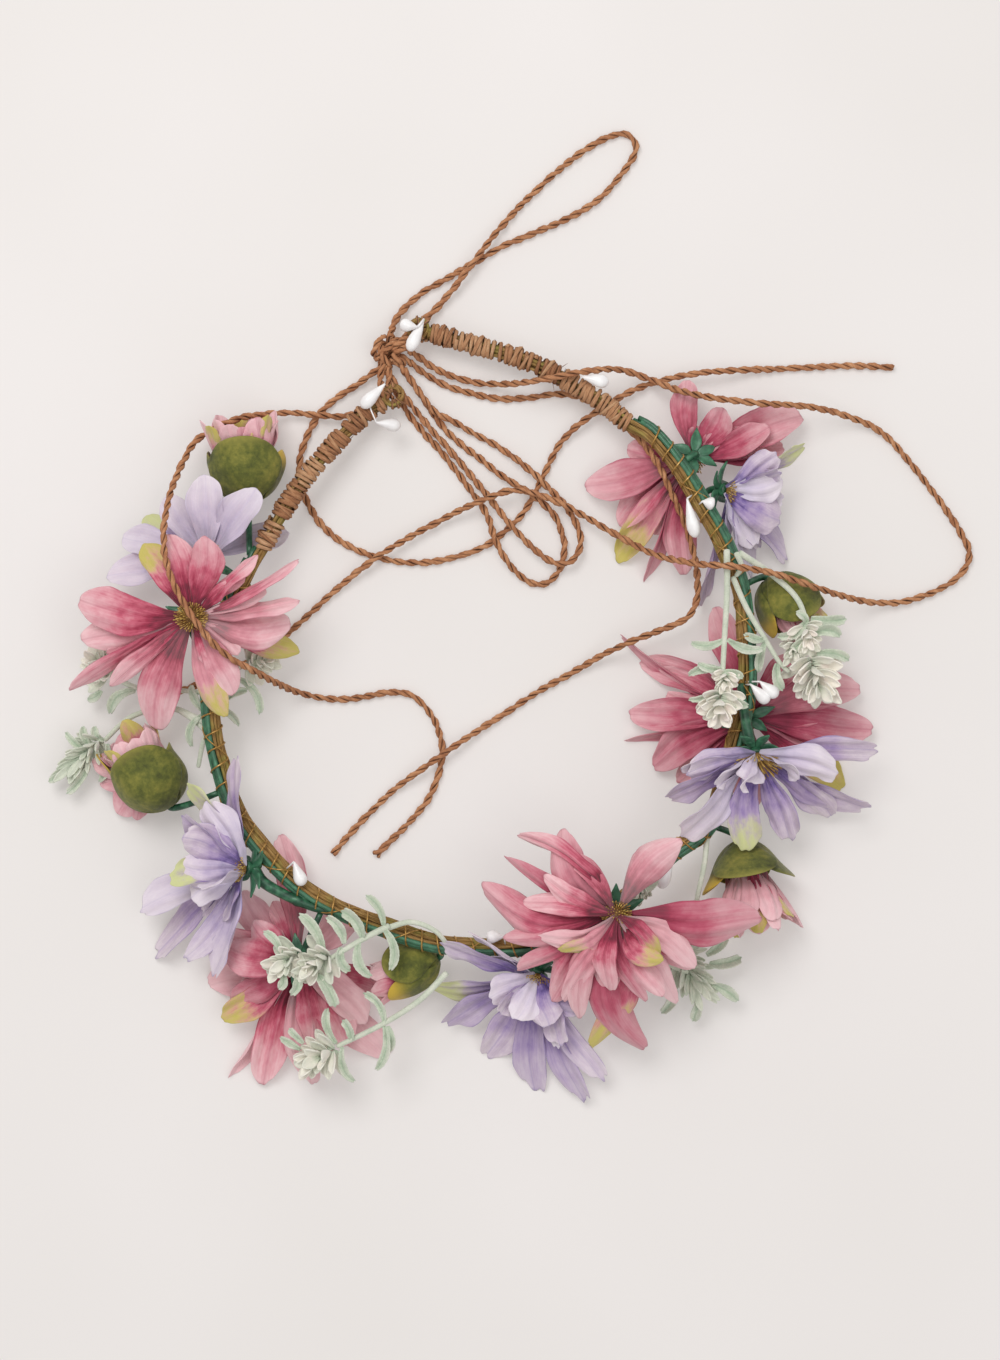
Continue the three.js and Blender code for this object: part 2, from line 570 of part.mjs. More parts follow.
add("band_wire", bandWire(), "vine");
add("right_wrap", wrap(RIGHT_WRAP[0], RIGHT_WRAP[1]), "wrap");
add("left_wrap", wrap(bandLength - LEFT_WRAP[1], bandLength - LEFT_WRAP[0]), "wrap");
const strand = new BandStretch(boundFrom, boundTo, STRAND_OFFSET, STRAND_OFFSET);
add("stem_strand", tube(strand, STEM_STRAND_D, 5, 10), "stem");
const bindingSteps = bundle.getLength() / BINDING_TURNS / 5;
const bindingHelix = new BindingHelix(bundle, BINDING_R, BINDING_TURNS);
add("binding_wire", tube(bindingHelix, BINDING_D, 4, bindingSteps), "wire");
add("bow_knot", bowKnot(), "cord");
for (const [name, route] of Object.entries(CORD_ROUTES)) {
  add(name, cord(route), "cord");
}
for (const [name, flower] of Object.entries(FLOWERS)) {
  add(`${name}_petals`, petals(flower), flower.colour);
  add(`${name}_calyx`, calyx(flower), "stem");
  add(`${name}_stamens`, stamens(flower), "stamen");
}
for (const [name, bud] of Object.entries(BUDS)) {
  add(`${name}_sepals`, budCup(bud), "olive");
  add(`${name}_petals`, budPetals(bud), "pink");
}
for (const [name, parts] of Object.entries(SPRIGS)) {
  add(name, sprig(parts), "sprig");
}
for (const [name, pair] of Object.entries(BERRIES)) {
  add(name, berries(pair), "berry");
}

export default crown;
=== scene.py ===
"""A flower crown: fabric daisies, buds and sprigs bound to a wire band, tied with paper cord."""

import math
import random

import bpy
import numpy as np
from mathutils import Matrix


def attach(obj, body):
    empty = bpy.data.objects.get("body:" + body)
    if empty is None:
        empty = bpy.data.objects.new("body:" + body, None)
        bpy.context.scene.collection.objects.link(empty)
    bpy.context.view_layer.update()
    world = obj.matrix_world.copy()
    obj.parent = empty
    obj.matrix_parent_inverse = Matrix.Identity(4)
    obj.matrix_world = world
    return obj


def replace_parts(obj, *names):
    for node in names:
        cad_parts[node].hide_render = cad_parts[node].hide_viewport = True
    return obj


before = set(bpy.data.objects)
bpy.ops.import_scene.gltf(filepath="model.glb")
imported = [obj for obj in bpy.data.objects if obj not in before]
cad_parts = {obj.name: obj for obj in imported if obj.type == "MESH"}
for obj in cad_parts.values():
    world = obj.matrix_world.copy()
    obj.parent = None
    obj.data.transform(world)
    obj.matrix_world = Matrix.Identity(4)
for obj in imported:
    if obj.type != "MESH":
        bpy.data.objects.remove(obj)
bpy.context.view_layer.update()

MM = 0.001
UP = np.array((0.0, 0.0, 1.0))
TURN = 2 * math.pi
GOLDEN_ANGLE = 2.39996

# ---- Places, in metres for the cords and in millimetres for the rest ----
CORD_ROUTES = {
    "upper_loop": [
        (-0.024, 0.129, 0.005), (-0.0225, 0.133, 0.0032), (-0.0185, 0.138, 0.0019),
        (-0.013, 0.1425, 0.0015), (-0.006, 0.1465, 0.0015), (0, 0.15, 0.0015),
        (0.006, 0.1535, 0.0015), (0.014, 0.158, 0.0015), (0.0235, 0.162, 0.0015),
        (0.033, 0.166, 0.0015), (0.0415, 0.1705, 0.0015), (0.0475, 0.175, 0.0015),
        (0.052, 0.18, 0.0015), (0.0555, 0.1845, 0.0015), (0.058, 0.1884, 0.0015),
        (0.0588, 0.1913, 0.0015), (0.0577, 0.1942, 0.0015), (0.055, 0.1959, 0.0015),
        (0.0512, 0.1955, 0.0015), (0.0435, 0.1918, 0.0015), (0.0355, 0.186, 0.0015),
        (0.029, 0.1805, 0.0015), (0.021, 0.173, 0.0016), (0.0145, 0.166, 0.0024),
        (0.0085, 0.1585, 0.0044), (0.004, 0.1525, 0.0049), (-0.001, 0.146, 0.0046),
        (-0.0055, 0.1405, 0.0032), (-0.0095, 0.136, 0.0028), (-0.013, 0.1325, 0.0045),
    ],
    "loop_a": [
        (-0.02, 0.1155, 0.0062), (-0.0165, 0.1105, 0.006), (-0.013, 0.1055, 0.0052),
        (-0.009, 0.101, 0.0046), (-0.003, 0.098, 0.0036), (0.004, 0.094, 0.002),
        (0.0115, 0.09, 0.002), (0.0185, 0.085, 0.004), (0.024, 0.0805, 0.0049),
        (0.029, 0.0755, 0.0049), (0.034, 0.0705, 0.0036), (0.038, 0.0645, 0.0022),
        (0.04, 0.059, 0.0032), (0.0397, 0.0558, 0.0039), (0.0383, 0.0524, 0.0046),
        (0.0358, 0.0502, 0.0049), (0.0324, 0.0498, 0.0049), (0.0285, 0.0515, 0.0049),
        (0.024, 0.055, 0.0048), (0.019, 0.06, 0.0049), (0.0145, 0.065, 0.0048),
        (0.01, 0.071, 0.0038), (0.0055, 0.0765, 0.0024), (0.001, 0.082, 0.0028),
        (-0.0045, 0.0885, 0.0041), (-0.01, 0.0945, 0.0042), (-0.015, 0.1005, 0.0045),
        (-0.019, 0.1055, 0.0057), (-0.022, 0.1095, 0.0062), (-0.0245, 0.113, 0.0062),
    ],
    "loop_b": [
        (-0.02, 0.1155, 0.0029), (-0.0165, 0.1105, 0.0018), (-0.013, 0.1055, 0.0015),
        (-0.0095, 0.1, 0.0015), (-0.0055, 0.095, 0.0015), (0, 0.09, 0.0015),
        (0.006, 0.0855, 0.0016), (0.0115, 0.081, 0.0027), (0.0175, 0.077, 0.0046),
        (0.023, 0.0735, 0.0049), (0.0275, 0.07, 0.0048), (0.0315, 0.0655, 0.0036),
        (0.0335, 0.0605, 0.0021), (0.0345, 0.0555, 0.0015), (0.0337, 0.0505, 0.0015),
        (0.0316, 0.046, 0.0015), (0.0275, 0.043, 0.0015), (0.0225, 0.0438, 0.0016),
        (0.0175, 0.0477, 0.003), (0.0135, 0.053, 0.0047), (0.0105, 0.059, 0.0049),
        (0.009, 0.0645, 0.0046), (0.0065, 0.0695, 0.0036), (0.0025, 0.075, 0.0019),
        (-0.0015, 0.0805, 0.0015), (-0.007, 0.0875, 0.0015), (-0.012, 0.093, 0.0015),
        (-0.0175, 0.0995, 0.0015), (-0.021, 0.105, 0.0015), (-0.023, 0.1095, 0.0018),
        (-0.0245, 0.1133, 0.0029),
    ],
    "tail_r1": [
        (-0.018, 0.1217, 0.0076), (-0.007, 0.1148, 0.0036), (0.005, 0.1113, 0.0026),
        (0.014, 0.1106, 0.0066), (0.022, 0.1108, 0.013), (0.03, 0.1118, 0.0178),
        (0.04, 0.1136, 0.0184), (0.048, 0.1148, 0.015), (0.054, 0.1149, 0.0098),
        (0.061, 0.113, 0.007), (0.068, 0.11, 0.0098), (0.075, 0.107, 0.0165),
        (0.084, 0.1048, 0.0202), (0.1, 0.1031, 0.0187), (0.116, 0.1023, 0.0144),
        (0.13, 0.0996, 0.0068), (0.142, 0.0945, 0.0024), (0.156, 0.079, 0.0016),
        (0.169, 0.0605, 0.0015), (0.172, 0.0525, 0.0015), (0.167, 0.0445, 0.0016),
        (0.151, 0.0374, 0.0022), (0.139, 0.0367, 0.0054), (0.128, 0.0386, 0.0136),
        (0.116, 0.042, 0.023), (0.104, 0.0457, 0.0278), (0.091, 0.048, 0.0312),
        (0.078, 0.0493, 0.025), (0.065, 0.0526, 0.0148), (0.053, 0.0588, 0.0099),
        (0.041, 0.066, 0.0068), (0.03, 0.0715, 0.0078), (0.018, 0.0746, 0.0083),
        (0.005, 0.0706, 0.0069), (-0.008, 0.0644, 0.0038), (-0.029, 0.0522, 0.0049),
        (-0.043, 0.0412, 0.0022), (-0.06, 0.026, 0.0015), (-0.078, 0.0138, 0.0015),
        (-0.097, 0.0064, 0.0015),
    ],
    "tail_r2": [
        (-0.018, 0.1183, 0.0034), (-0.013, 0.1145, 0.0019), (-0.006, 0.1105, 0.0015),
        (0.003, 0.1078, 0.0015), (0.0125, 0.106, 0.0015), (0.0225, 0.1063, 0.0015),
        (0.0315, 0.1076, 0.0015), (0.04, 0.1065, 0.0015), (0.047, 0.1027, 0.0016),
        (0.0515, 0.0993, 0.004), (0.055, 0.0963, 0.007), (0.061, 0.09, 0.012),
        (0.066, 0.0823, 0.0147), (0.07, 0.0737, 0.015), (0.0738, 0.0656, 0.0142),
        (0.0765, 0.0576, 0.0132), (0.0786, 0.049, 0.0118), (0.079, 0.0382, 0.011),
        (0.076, 0.0318, 0.011), (0.068, 0.0278, 0.01), (0.058, 0.024, 0.0099),
        (0.053, 0.0218, 0.0086), (0.048, 0.0194, 0.0052), (0.0375, 0.0132, 0.0018),
        (0.026, 0.0068, 0.0015), (0.015, -0.0004, 0.0015), (0.0065, -0.0058, 0.0022),
        (-0.0015, -0.011, 0.0044), (-0.008, -0.0155, 0.0049), (-0.015, -0.0205, 0.0043),
        (-0.0225, -0.026, 0.0022), (-0.03, -0.033, 0.0015), (-0.037, -0.0402, 0.0015),
        (-0.044, -0.0485, 0.0015),
    ],
    "tail_l1": [
        (-0.03, 0.115, 0.0036), (-0.0355, 0.111, 0.0021), (-0.0425, 0.1065, 0.0015),
        (-0.0485, 0.101, 0.0015), (-0.053, 0.093, 0.0015), (-0.0555, 0.0845, 0.0015),
        (-0.0545, 0.0755, 0.0015), (-0.0505, 0.0665, 0.0015), (-0.0435, 0.059, 0.0015),
        (-0.0345, 0.054, 0.0015), (-0.024, 0.051, 0.0015), (-0.014, 0.0503, 0.0015),
        (-0.0035, 0.052, 0.0015), (0.0065, 0.0555, 0.0015), (0.0155, 0.062, 0.0015),
        (0.021, 0.068, 0.0015), (0.0255, 0.076, 0.0015), (0.0295, 0.0845, 0.0015),
        (0.0335, 0.0915, 0.0022), (0.0405, 0.098, 0.0043), (0.047, 0.1023, 0.0049),
        (0.0555, 0.1075, 0.0042), (0.0635, 0.111, 0.0028), (0.072, 0.113, 0.005),
        (0.08, 0.1143, 0.007), (0.0885, 0.115, 0.006), (0.098, 0.1157, 0.0032),
        (0.109, 0.1162, 0.0017), (0.121, 0.1168, 0.0015), (0.1335, 0.1172, 0.0015),
        (0.146, 0.1165, 0.0015),
    ],
    "tail_l2": [
        (-0.034, 0.101, 0.0026), (-0.041, 0.0998, 0.0041), (-0.049, 0.1002, 0.0049),
        (-0.058, 0.101, 0.0044), (-0.067, 0.1002, 0.0065), (-0.0755, 0.0985, 0.0116),
        (-0.0835, 0.095, 0.013), (-0.0895, 0.091, 0.013), (-0.0935, 0.083, 0.02),
        (-0.0963, 0.0743, 0.0274), (-0.0976, 0.066, 0.0345), (-0.098, 0.059, 0.039),
        (-0.0974, 0.0515, 0.041), (-0.0953, 0.044, 0.042), (-0.0915, 0.0364, 0.0425),
        (-0.0865, 0.0285, 0.042), (-0.0814, 0.0223, 0.0402), (-0.0758, 0.0174, 0.036),
        (-0.069, 0.0135, 0.0295), (-0.063, 0.0098, 0.0195), (-0.056, 0.0064, 0.0066),
        (-0.048, 0.0044, 0.0022), (-0.039, 0.004, 0.0015), (-0.0305, 0.0054, 0.0015),
        (-0.0235, 0.0064, 0.0015), (-0.0175, 0.0053, 0.0015), (-0.012, 0.0005, 0.0015),
        (-0.0085, -0.006, 0.0015), (-0.007, -0.0135, 0.0015), (-0.0085, -0.022, 0.0015),
        (-0.012, -0.0303, 0.0015), (-0.0175, -0.037, 0.0015), (-0.024, -0.0435, 0.0015),
        (-0.0295, -0.049, 0.0015),
    ],
}
BAND_ROUTE = [
    (-12, 128, 9), (2, 124, 10), (19, 119, 11), (34, 112, 12.5), (48, 103, 14), (55, 97, 16),
    (62, 93, 18), (72, 81, 20), (79, 69, 20), (87, 55, 20), (92, 41, 20), (94, 24, 20), (94, 5, 20),
    (90, -11, 20), (86, -26, 20), (81, -38, 20), (69, -47, 20), (55, -61, 20), (46, -68, 20),
    (33, -75, 20), (19, -78, 20), (-7, -77, 20), (-24, -72, 20), (-38, -67, 20), (-51, -60, 20),
    (-64, -48, 20), (-74, -35, 20), (-80, -18, 20), (-83, -1, 20), (-83, 16, 20), (-80, 27, 20),
    (-74, 41, 20), (-67, 55, 18.5), (-62, 64, 17), (-54, 77, 14.5), (-43, 90, 12), (-31, 102, 9.5),
    (-26, 105, 9),
]
# A petal is (direction in degrees, reach, height of its tip, width, rise, roll in degrees, tint).
# The roll and the tint are 0 where a row leaves them out.
# Tints: plain print, a yellow-green tip, painted shade for petals that lie in shadow, and a paler print.
PLAIN, GREEN_TIP, PAINTED_SHADE, PALE = 0, 1, 2, 3
FLOWERS = {
    "flower_1": {
        "colour": "pink",
        "hub": (77, 85, 13),
        "face": (-0.25, -0.3, -0.92),
        "petals": [
            (-166, 37, 6, 13, -1), (-136, 33, 4, 11, 0, -10), (-126, 42, 1, 10, 1, 0, 1),
            (-110, 44, 1.5, 8, 0, 55), (-94, 39, 7, 11, 0), (10, 32, 5, 10, 1, 0, 2),
            (22, 41, 9, 13, 2), (23, 28, 16, 9, 1), (57, 20, 14, 10, 1), (94, 27, 10, 9, 0, 20),
            (171, 22, 8, 10, -1, 35),
        ],
    },
    "flower_2": {
        "colour": "purple",
        "hub": (89, 74, 16),
        "face": (0.85, -0.15, 0.3),
        "petals": [
            (-103, 40, 1.6, 10, 0), (-72, 30, 7, 12, 2, 0, 3), (-56, 22, 8, 10, 1),
            (-46, 31, 2.6, 10, 1, 0, 2), (-7, 19, 14, 9, 1, 0, 3), (19, 18, 23, 9, 3),
            (29, 30, 17, 8, 2, 0, 1), (30, 15, 5, 9, 0),
        ],
    },
    "flower_3": {
        "colour": "pink",
        "hub": (96, -2, 8),
        "face": (0, 0, -1),
        "petals": [
            (-169, 42, 1, 6, 1, 65), (-152, 36, 5, 12, 1), (-135, 32, 0.8, 9, 1), (-87, 32, 0.8, 11, 1),
            (-35, 41, 0.8, 11, 1, 0, 1), (-6, 43, 5, 13, 2), (14, 40, 8, 12, 3), (49, 28, 4, 11, 1),
            (106, 39, 6, 11, 1, 20), (148, 51, 6, 6, 1, 65), (153, 41, 1, 10, 1), (179, 40, 7, 11, 1),
        ],
    },
    "flower_4": {
        "colour": "purple",
        "hub": (98, -15, 25),
        "face": (0.03, -0.8, 0.55),
        "petals": [
            (-170, 26, 33, 8, 4), (-154, 33, 29, 10, 7), (-148, 17, 36, 8, 4, 0, 3),
            (-131, 37, 30, 14, 8, 0, 3), (-112, 12, 38, 8, 3, 0, 3), (-96, 32, 23, 11, 3, 0, 1),
            (-67, 31, 17, 10, 3), (-39, 34, 8, 11, 2), (-26, 43, 12, 12, 3), (-23, 15, 36, 9, 4, 0, 3),
            (2, 41, 22, 9, 4, 25),
        ],
    },
    "flower_5": {
        "colour": "pink",
        "hub": (51, -67, 35),
        "face": (0.05, -0.15, 1),
        "petals": [
            (-167, 38, 33, 8, 3), (-150, 38, 28, 8, 3, 40), (-126, 36, 24, 11, 4),
            (-100, 46, 16, 10, 6, 0, 1), (-98, 27, 30, 10, 4), (-77, 48, 15, 12, 6),
            (-61, 30, 36, 9, 3), (-43, 21, 44, 8, 2, 15, 1), (-36, 32, 26, 10, 4), (-1, 47, 30, 15, 5),
            (50, 32, 44, 12, 3, 20), (122, 34, 38, 12, 4), (140, 42, 32, 8, 3, 45),
            (151, 42, 37, 7, 3, 50), (168, 46, 31, 12, 5),
        ],
    },
    "flower_6": {
        "colour": "purple",
        "hub": (25, -89, 18),
        "face": (-0.15, -0.75, 0.55),
        "petals": [
            (-172, 36, 12, 10, 2, 0, 1), (-152, 35, 6, 11, 2), (-136, 17, 24, 9, 3),
            (-120, 34, 1.5, 12, 2), (-91, 40, 0.8, 11, 2), (-71, 24, 18, 9, 3), (-70, 46, 5, 9, 2),
            (-58, 42, 9, 8, 1, 30), (144, 28, 31, 8, 6, 35, 3), (160, 34, 29, 10, 7),
        ],
    },
    "flower_7": {
        "colour": "pink",
        "hub": (-55, -84, 10),
        "face": (0, 0, -1),
        "petals": [
            (-163, 33, 1, 12, 1), (-142, 33, 9, 10, 2, 0, 1), (-121, 47, 0.8, 8, 1, 55),
            (-106, 45, 4, 12, 2), (-85, 42, 9, 10, 2), (-60, 33, 8, 12, 2), (-48, 45, 0.8, 12, 1),
            (-20, 36, 3, 11, 0), (47, 25, 3, 11, 0), (99, 43, 5, 10, 0), (131, 31, 3, 11, 0),
            (167, 30, 8, 12, 2),
        ],
    },
    "flower_8": {
        "colour": "purple",
        "hub": (-73, -52, 23),
        "face": (-0.85, 0.05, 0.5),
        "petals": [
            (-173, 24, 30, 9, 4, 0, 1), (-157, 38, 12, 12, 2, 0, 3), (-155, 15, 36, 8, 3, 0, 3),
            (-135, 44, 1.5, 11, 2), (-123, 37, 14, 8, 2, 45), (-106, 38, 18, 12, 3),
            (95, 37, 33, 10, 6), (122, 33, 27, 11, 3, 0, 1), (140, 26, 33, 10, 4),
        ],
    },
    "flower_9": {
        "colour": "pink",
        "hub": (-89, 31, 36),
        "face": (0, 0.05, 1),
        "petals": [
            (-169, 39, 25, 11, 4), (-151, 48, 21, 7, 4, 50), (-141, 36, 27, 7, 3, 35),
            (-111, 40, 17, 14, 5), (-72, 34, 28, 9, 3, 0, 1), (-62, 29, 30, 10, 4),
            (-18, 36, 18, 9, 4, 0, 1), (-4, 32, 28, 13, 4), (9, 36, 34, 8, 3, 45),
            (28, 40, 36, 7, 3, 60), (45, 30, 38, 8, 3, 55), (77, 27, 41, 11, 3), (105, 29, 35, 10, 4),
            (122, 30, 29, 11, 4, 0, 1), (170, 39, 32, 14, 4),
        ],
    },
    "flower_10": {
        "colour": "purple",
        "hub": (-86, 51, 17),
        "face": (0, 0.35, 0.9),
        "petals": [
            (-170, 34, 16, 11, 3), (20, 29, 6, 10, 0, 0, 3), (54, 29, 27, 12, 4), (90, 28, 24, 12, 4),
            (122, 26, 13, 10, 3), (147, 27, 1, 9, 1, 0, 1), (164, 30, 14, 11, 3),
        ],
    },
}
BUDS = {
    "bud_1": {"at": (110, 35, 11), "face": (0.55, -0.75, 0.1), "radius": 10.5, "length": 25},
    "bud_2": {"at": (96, -57, 11.5), "face": (0.15, -0.98, 0.1), "radius": 10.5, "length": 28},
    "bud_3": {"at": (-19, -87, 12.5), "face": (-0.9, -0.35, -0.1), "radius": 8.5, "length": 24},
    "bud_4": {"at": (-105, -22, 12.5), "face": (-0.5, 0.8, 0.1), "radius": 12, "length": 25},
    "bud_5": {"at": (-73, 83, 12.8), "face": (-0.05, 0.95, 0.15), "radius": 12.5, "length": 26},
}
# A sepal is (turn from the top, half spread, height); flare is how far the petals open.
BUD_LOOKS = {
    "bud_1": {
        "sepals": [(-0.35, 0.95, 0.62), (1.3, 0.75, 0.45), (-1.9, 0.9, 0.5), (2.9, 0.9, 0.5)],
        "count": 9, "flare": (0.45, 0.78),
    },
    "bud_2": {
        "sepals": [(0.1, 1.0, -0.05), (1.6, 1.0, 0.2), (-1.4, 1.0, 0.1), (3.1, 0.9, 0.0)],
        "count": 24, "flare": (0.35, 1.6), "open": 0.5, "reach": (1.0, 1.36),
    },
    "bud_3": {
        "sepals": [(0.5, 0.95, 0.5), (-0.9, 0.8, 0.7), (2.2, 0.9, 0.4), (-2.4, 0.9, 0.4)],
        "count": 9, "flare": (0.6, 0.9),
    },
    "bud_4": {
        "sepals": [(-0.1, 1.12, 0.98), (-1.75, 0.8, 1.3), (1.4, 0.8, 0.55), (2.9, 0.9, 0.4)],
        "count": 11, "flare": (0.64, 0.95), "reach": (1.1, 1.32),
        "loose": [
            ((-117.5, -35, 4), 11, 0), ((-110, -36.5, 4), 8, 0), ((-125, -17, 8), 9, 3),
            ((-123, -25, 5), 8, 0), ((-115, -7, 12), 11, 0), ((-114, -3, 13), 8, 1),
        ],
    },
    "bud_5": {
        "sepals": [(0.0, 1.1, 0.84), (1.5, 0.8, 0.35), (-1.5, 0.8, 0.4), (3.1, 0.9, 0.4)],
        "count": 15, "flare": (0.8, 1.12), "reach": (1.08, 1.34),
    },
}
SPRIGS = {
    "sprig_1": {
        "stalk": [(88, 54, 26.8), (88, 40, 27.6), (87, 24, 30), (86, 8, 32)],
        "clusters": [((85, 1, 33), 7.5, 13), ((87, 10, 32), 4.5, 8)],
    },
    "sprig_2": {
        "stalk": [(92, 53, 26.6), (104, 45, 23.6), (112, 37, 23.6), (116, 24, 25)],
        "clusters": [((118, 10, 25), 9.5, 20), ((115, 24, 25.5), 5, 12)],
    },
    "sprig_3": {
        "stalk": [(-24, -71, 28), (-34, -76, 30), (-44, -82, 31)],
        "clusters": [((-49, -84, 31), 9, 15), ((-59, -83, 30), 7.5, 16)],
    },
    "sprig_4": {
        "stalk": [(-5, -87, 23), (-14, -96, 24), (-26, -104, 22), (-42, -112, 20.8)],
        "clusters": [((-49, -116, 20.5), 8.5, 18)],
    },
    "sprig_5": {
        "stalk": [(-86, -4, 15), (-98, 1, 13), (-112, -2, 9), (-121, -10, 8.5)],
        "clusters": [((-129, -16, 8.5), 8, 22)],
    },
}
LEAF_PALE = {"sprig_1": 1.3, "sprig_2": 1.2, "sprig_3": 0.85, "sprig_4": 0.95, "sprig_5": 0.5}
LEAF_SPREAD = {"sprig_1": 1.25, "sprig_2": 1.18}
# A strap leaf is (foot, tip, sideways bow, width).
SPRIG_LEAVES = {
    "sprig_1": [
        ((87, 24, 30), (76, 23, 28), 2, 3.4), ((88, 24, 30), (100, 21, 28), -2, 3.6),
        ((86, 14, 31.5), (75, 12, 30), -1.5, 3.4), ((86, 14, 32), (78, 16, 33), 1, 3),
        ((86, 13, 31.5), (93, 11, 32), 1, 3), ((86, 7, 32), (75, 4, 31), 1, 2.6),
        ((86, 7, 32), (95, 2, 31), -1.5, 3.6),
    ],
    "sprig_2": [
        ((115, 31, 24.5), (105, 25, 23.5), 2.5, 3.8), ((116, 31, 24.5), (128, 31, 24), -1, 4.2),
        ((116, 25, 25), (126, 25, 25), 2.5, 4.6), ((116, 24, 25), (110, 20, 24), -1, 3.6),
        ((118, 19, 25), (129, 17, 23), 1.5, 4), ((115, 29, 24.5), (111, 33, 26), -1, 3.2),
    ],
    "sprig_3": [
        ((-26, -71, 28.5), (-32, -61, 29), -2, 3.2), ((-26, -72, 28.5), (-24, -86, 27), 3, 3.6),
        ((-33, -75, 30), (-40, -66, 31), -2, 4.6), ((-34, -76, 30), (-30, -88, 28), -3, 4),
        ((-39, -77, 30.5), (-45, -68, 31.5), -2, 4), ((-40, -78, 30.5), (-37, -86, 29), -2, 3.8),
        ((-46, -81, 31), (-54, -67, 31), -2.5, 4.2), ((-48, -87, 31), (-42, -98, 29), 1, 4.6),
        ((-60, -81, 30), (-66, -73, 29), -2, 3.2), ((-59, -87, 30), (-61, -92, 28), 1, 3.6),
        ((-55, -86, 30), (-57, -94, 28), 2, 3.6),
    ],
    "sprig_4": [
        ((-26, -104, 22), (-33, -94, 22), -2.5, 3.2), ((-26, -105, 22), (-29, -120, 19), 2.5, 3.4),
        ((-25, -105, 22), (-25, -114, 19), 1.5, 3.4), ((-42, -111, 20.8), (-45, -99, 21), 2, 3.2),
        ((-40, -112, 20.8), (-36, -124, 18), -2.5, 3.2),
        ((-37, -110, 21), (-40, -103, 22), -1, 3.4), ((-54, -113, 20), (-61, -109, 19), 0, 2.8),
        ((-53, -111, 20), (-58, -106, 20), 0, 2.8),
    ],
    "sprig_5": [
        ((-121, -10, 8.5), (-124, -5, 8.5), 1.5, 3), ((-120, -11, 8.5), (-123, -24, 6), 2, 3.4),
        ((-125, -13, 8.5), (-128, -5, 9), 1, 3), ((-126, -18, 8.5), (-134, -28, 6), 1, 3.2),
        ((-127, -14, 9), (-134, -7, 9), 0.5, 2.8), ((-133, -20, 8), (-140, -24, 7), 0, 2.8),
    ],
}
LOW_LEAVES = [
    ((-110, 7, 12), (-119, -1, 8), -3, 4.4), ((-87, 0, 15), (-91, 9, 16), 1, 3.2),
    ((-87, -1, 15), (-91, -12, 12), -3, 3), ((-86, 0, 15), (-75, -5, 14), 3, 3),
    ((-75, 11, 17), (-68, -1, 16), 3, 3.4), ((-122, 7, 8), (-127, 4, 6), 1, 3.4),
    ((-79, 4, 16), (-72, 7, 17), 1, 3), ((80, -97, 9), (78, -105, 6), 0, 4),
    ((84, -92, 10), (93, -98, 8), 1, 4.4), ((83, -85, 12), (94, -83, 9), -1, 4.4),
    ((82, -82, 12), (89, -75, 10), -1, 4.2), ((72, -94, 9), (67, -102, 7), 1, 4),
    ((101, 23, 24), (99, 13, 22), -1, 3.4), ((105, 16, 24), (107, 7, 23), -1.5, 4),
    ((101, 24, 24), (94, 26, 23), 1, 3.4), ((66, -54, 23), (59, -60, 22), 1, 3.6),
    ((62, -56, 22), (55, -54, 22), -1, 3.4),
]
# (middle, direction, radius, length, paleness)
LOW_ROSETTES = [
    ((-123, 16, 9), (-0.6, 0.5, 0.3), 8, 13, 0.9), ((-67, 17, 15), (0.9, 0.1, 0.3), 8, 13, 1),
    ((77, -89, 10), (0.5, -0.8, 0.2), 10, 24, 0.45),
    ((110, 20, 24.5), (-0.2, -0.9, 0.4), 4.5, 10, 1),
    ((58, -61, 22), (-0.6, -0.6, 0.2), 4.5, 10, 0.65),
]
LOOSE_STALKS = [
    [(90, 45, 25), (95, 34, 24), (101, 24, 24), (106, 16, 24), (109, 13, 24)],
    [(91, 53, 26.8), (93, 48, 26.4), (91, 45, 25)],
    [(82, -39, 20), (81, -50, 21), (78, -65, 21), (77, -80, 12)],
    [(-25, -72, 27), (-17, -70, 26), (-9, -73, 25), (-4, -79, 24)],
    [(-96, 1, 14), (-87, -6, 14.5), (-81, -19, 17)],
    [(-81, 4, 18), (-87, -10, 14), (-89, -19, 12)],
    [(50, -69, 20), (58, -79, 18), (69, -85, 14), (76, -88, 11)],
    [(-123, 15, 9), (-110, 8, 12), (-95, 7, 14), (-85, 6, 18)],
    [(-67, 17, 15), (-75, 15, 17), (-79, 13, 19)],
]
BERRIES = {
    "berries_right": [((-13, 132, 13), (-18, 121, 13.5)), ((-15, 129, 15), (-21, 130, 14))],
    "berries_left": [((-26, 110, 14.6), (-34, 102, 14)), ((-29, 97, 14.6), (-21, 96, 11))],
}
LOOSE_BERRIES = [
    ((40, 112, 18.5), (49, 110, 18)), ((80, 70, 25), (84, 69, 24)), ((75, 71, 23), (78, 58, 22)),
    ((96, 9, 26), (102, 3, 25)), ((99, 10, 26), (105, 5, 25.5)), ((-56, -50, 25.5), (-53, -58, 25)),
    ((67, -46, 24), (60, -51, 24)), ((70, -49, 24), (66, -59, 23)), ((14, -75, 25), (8, -75, 25)),
]
RIGHT_WRAP = 76  # how far the raffia reaches along the band, from its right end
LEFT_WRAP = 66  # the same from its left end
KNOT = (-25.5, 121.5, 5)


# ---- Camera ----
CAMERA_HEIGHT = 1.2
CAMERA_OVER = (0.0126, 0.0105)  # the place on the floor that it looks straight down at
FRAME_WIDTH = 0.34
camera = bpy.data.objects.new("camera", bpy.data.cameras.new("camera"))
camera.location = (*CAMERA_OVER, CAMERA_HEIGHT)
camera.data.sensor_fit = "HORIZONTAL"
camera.data.sensor_width = 36
camera.data.lens = camera.data.sensor_width * CAMERA_HEIGHT / FRAME_WIDTH
bpy.context.collection.objects.link(camera)
bpy.context.scene.camera = camera


# ---- Vectors and curves ----
def vec(p):
    return np.array(p, float)


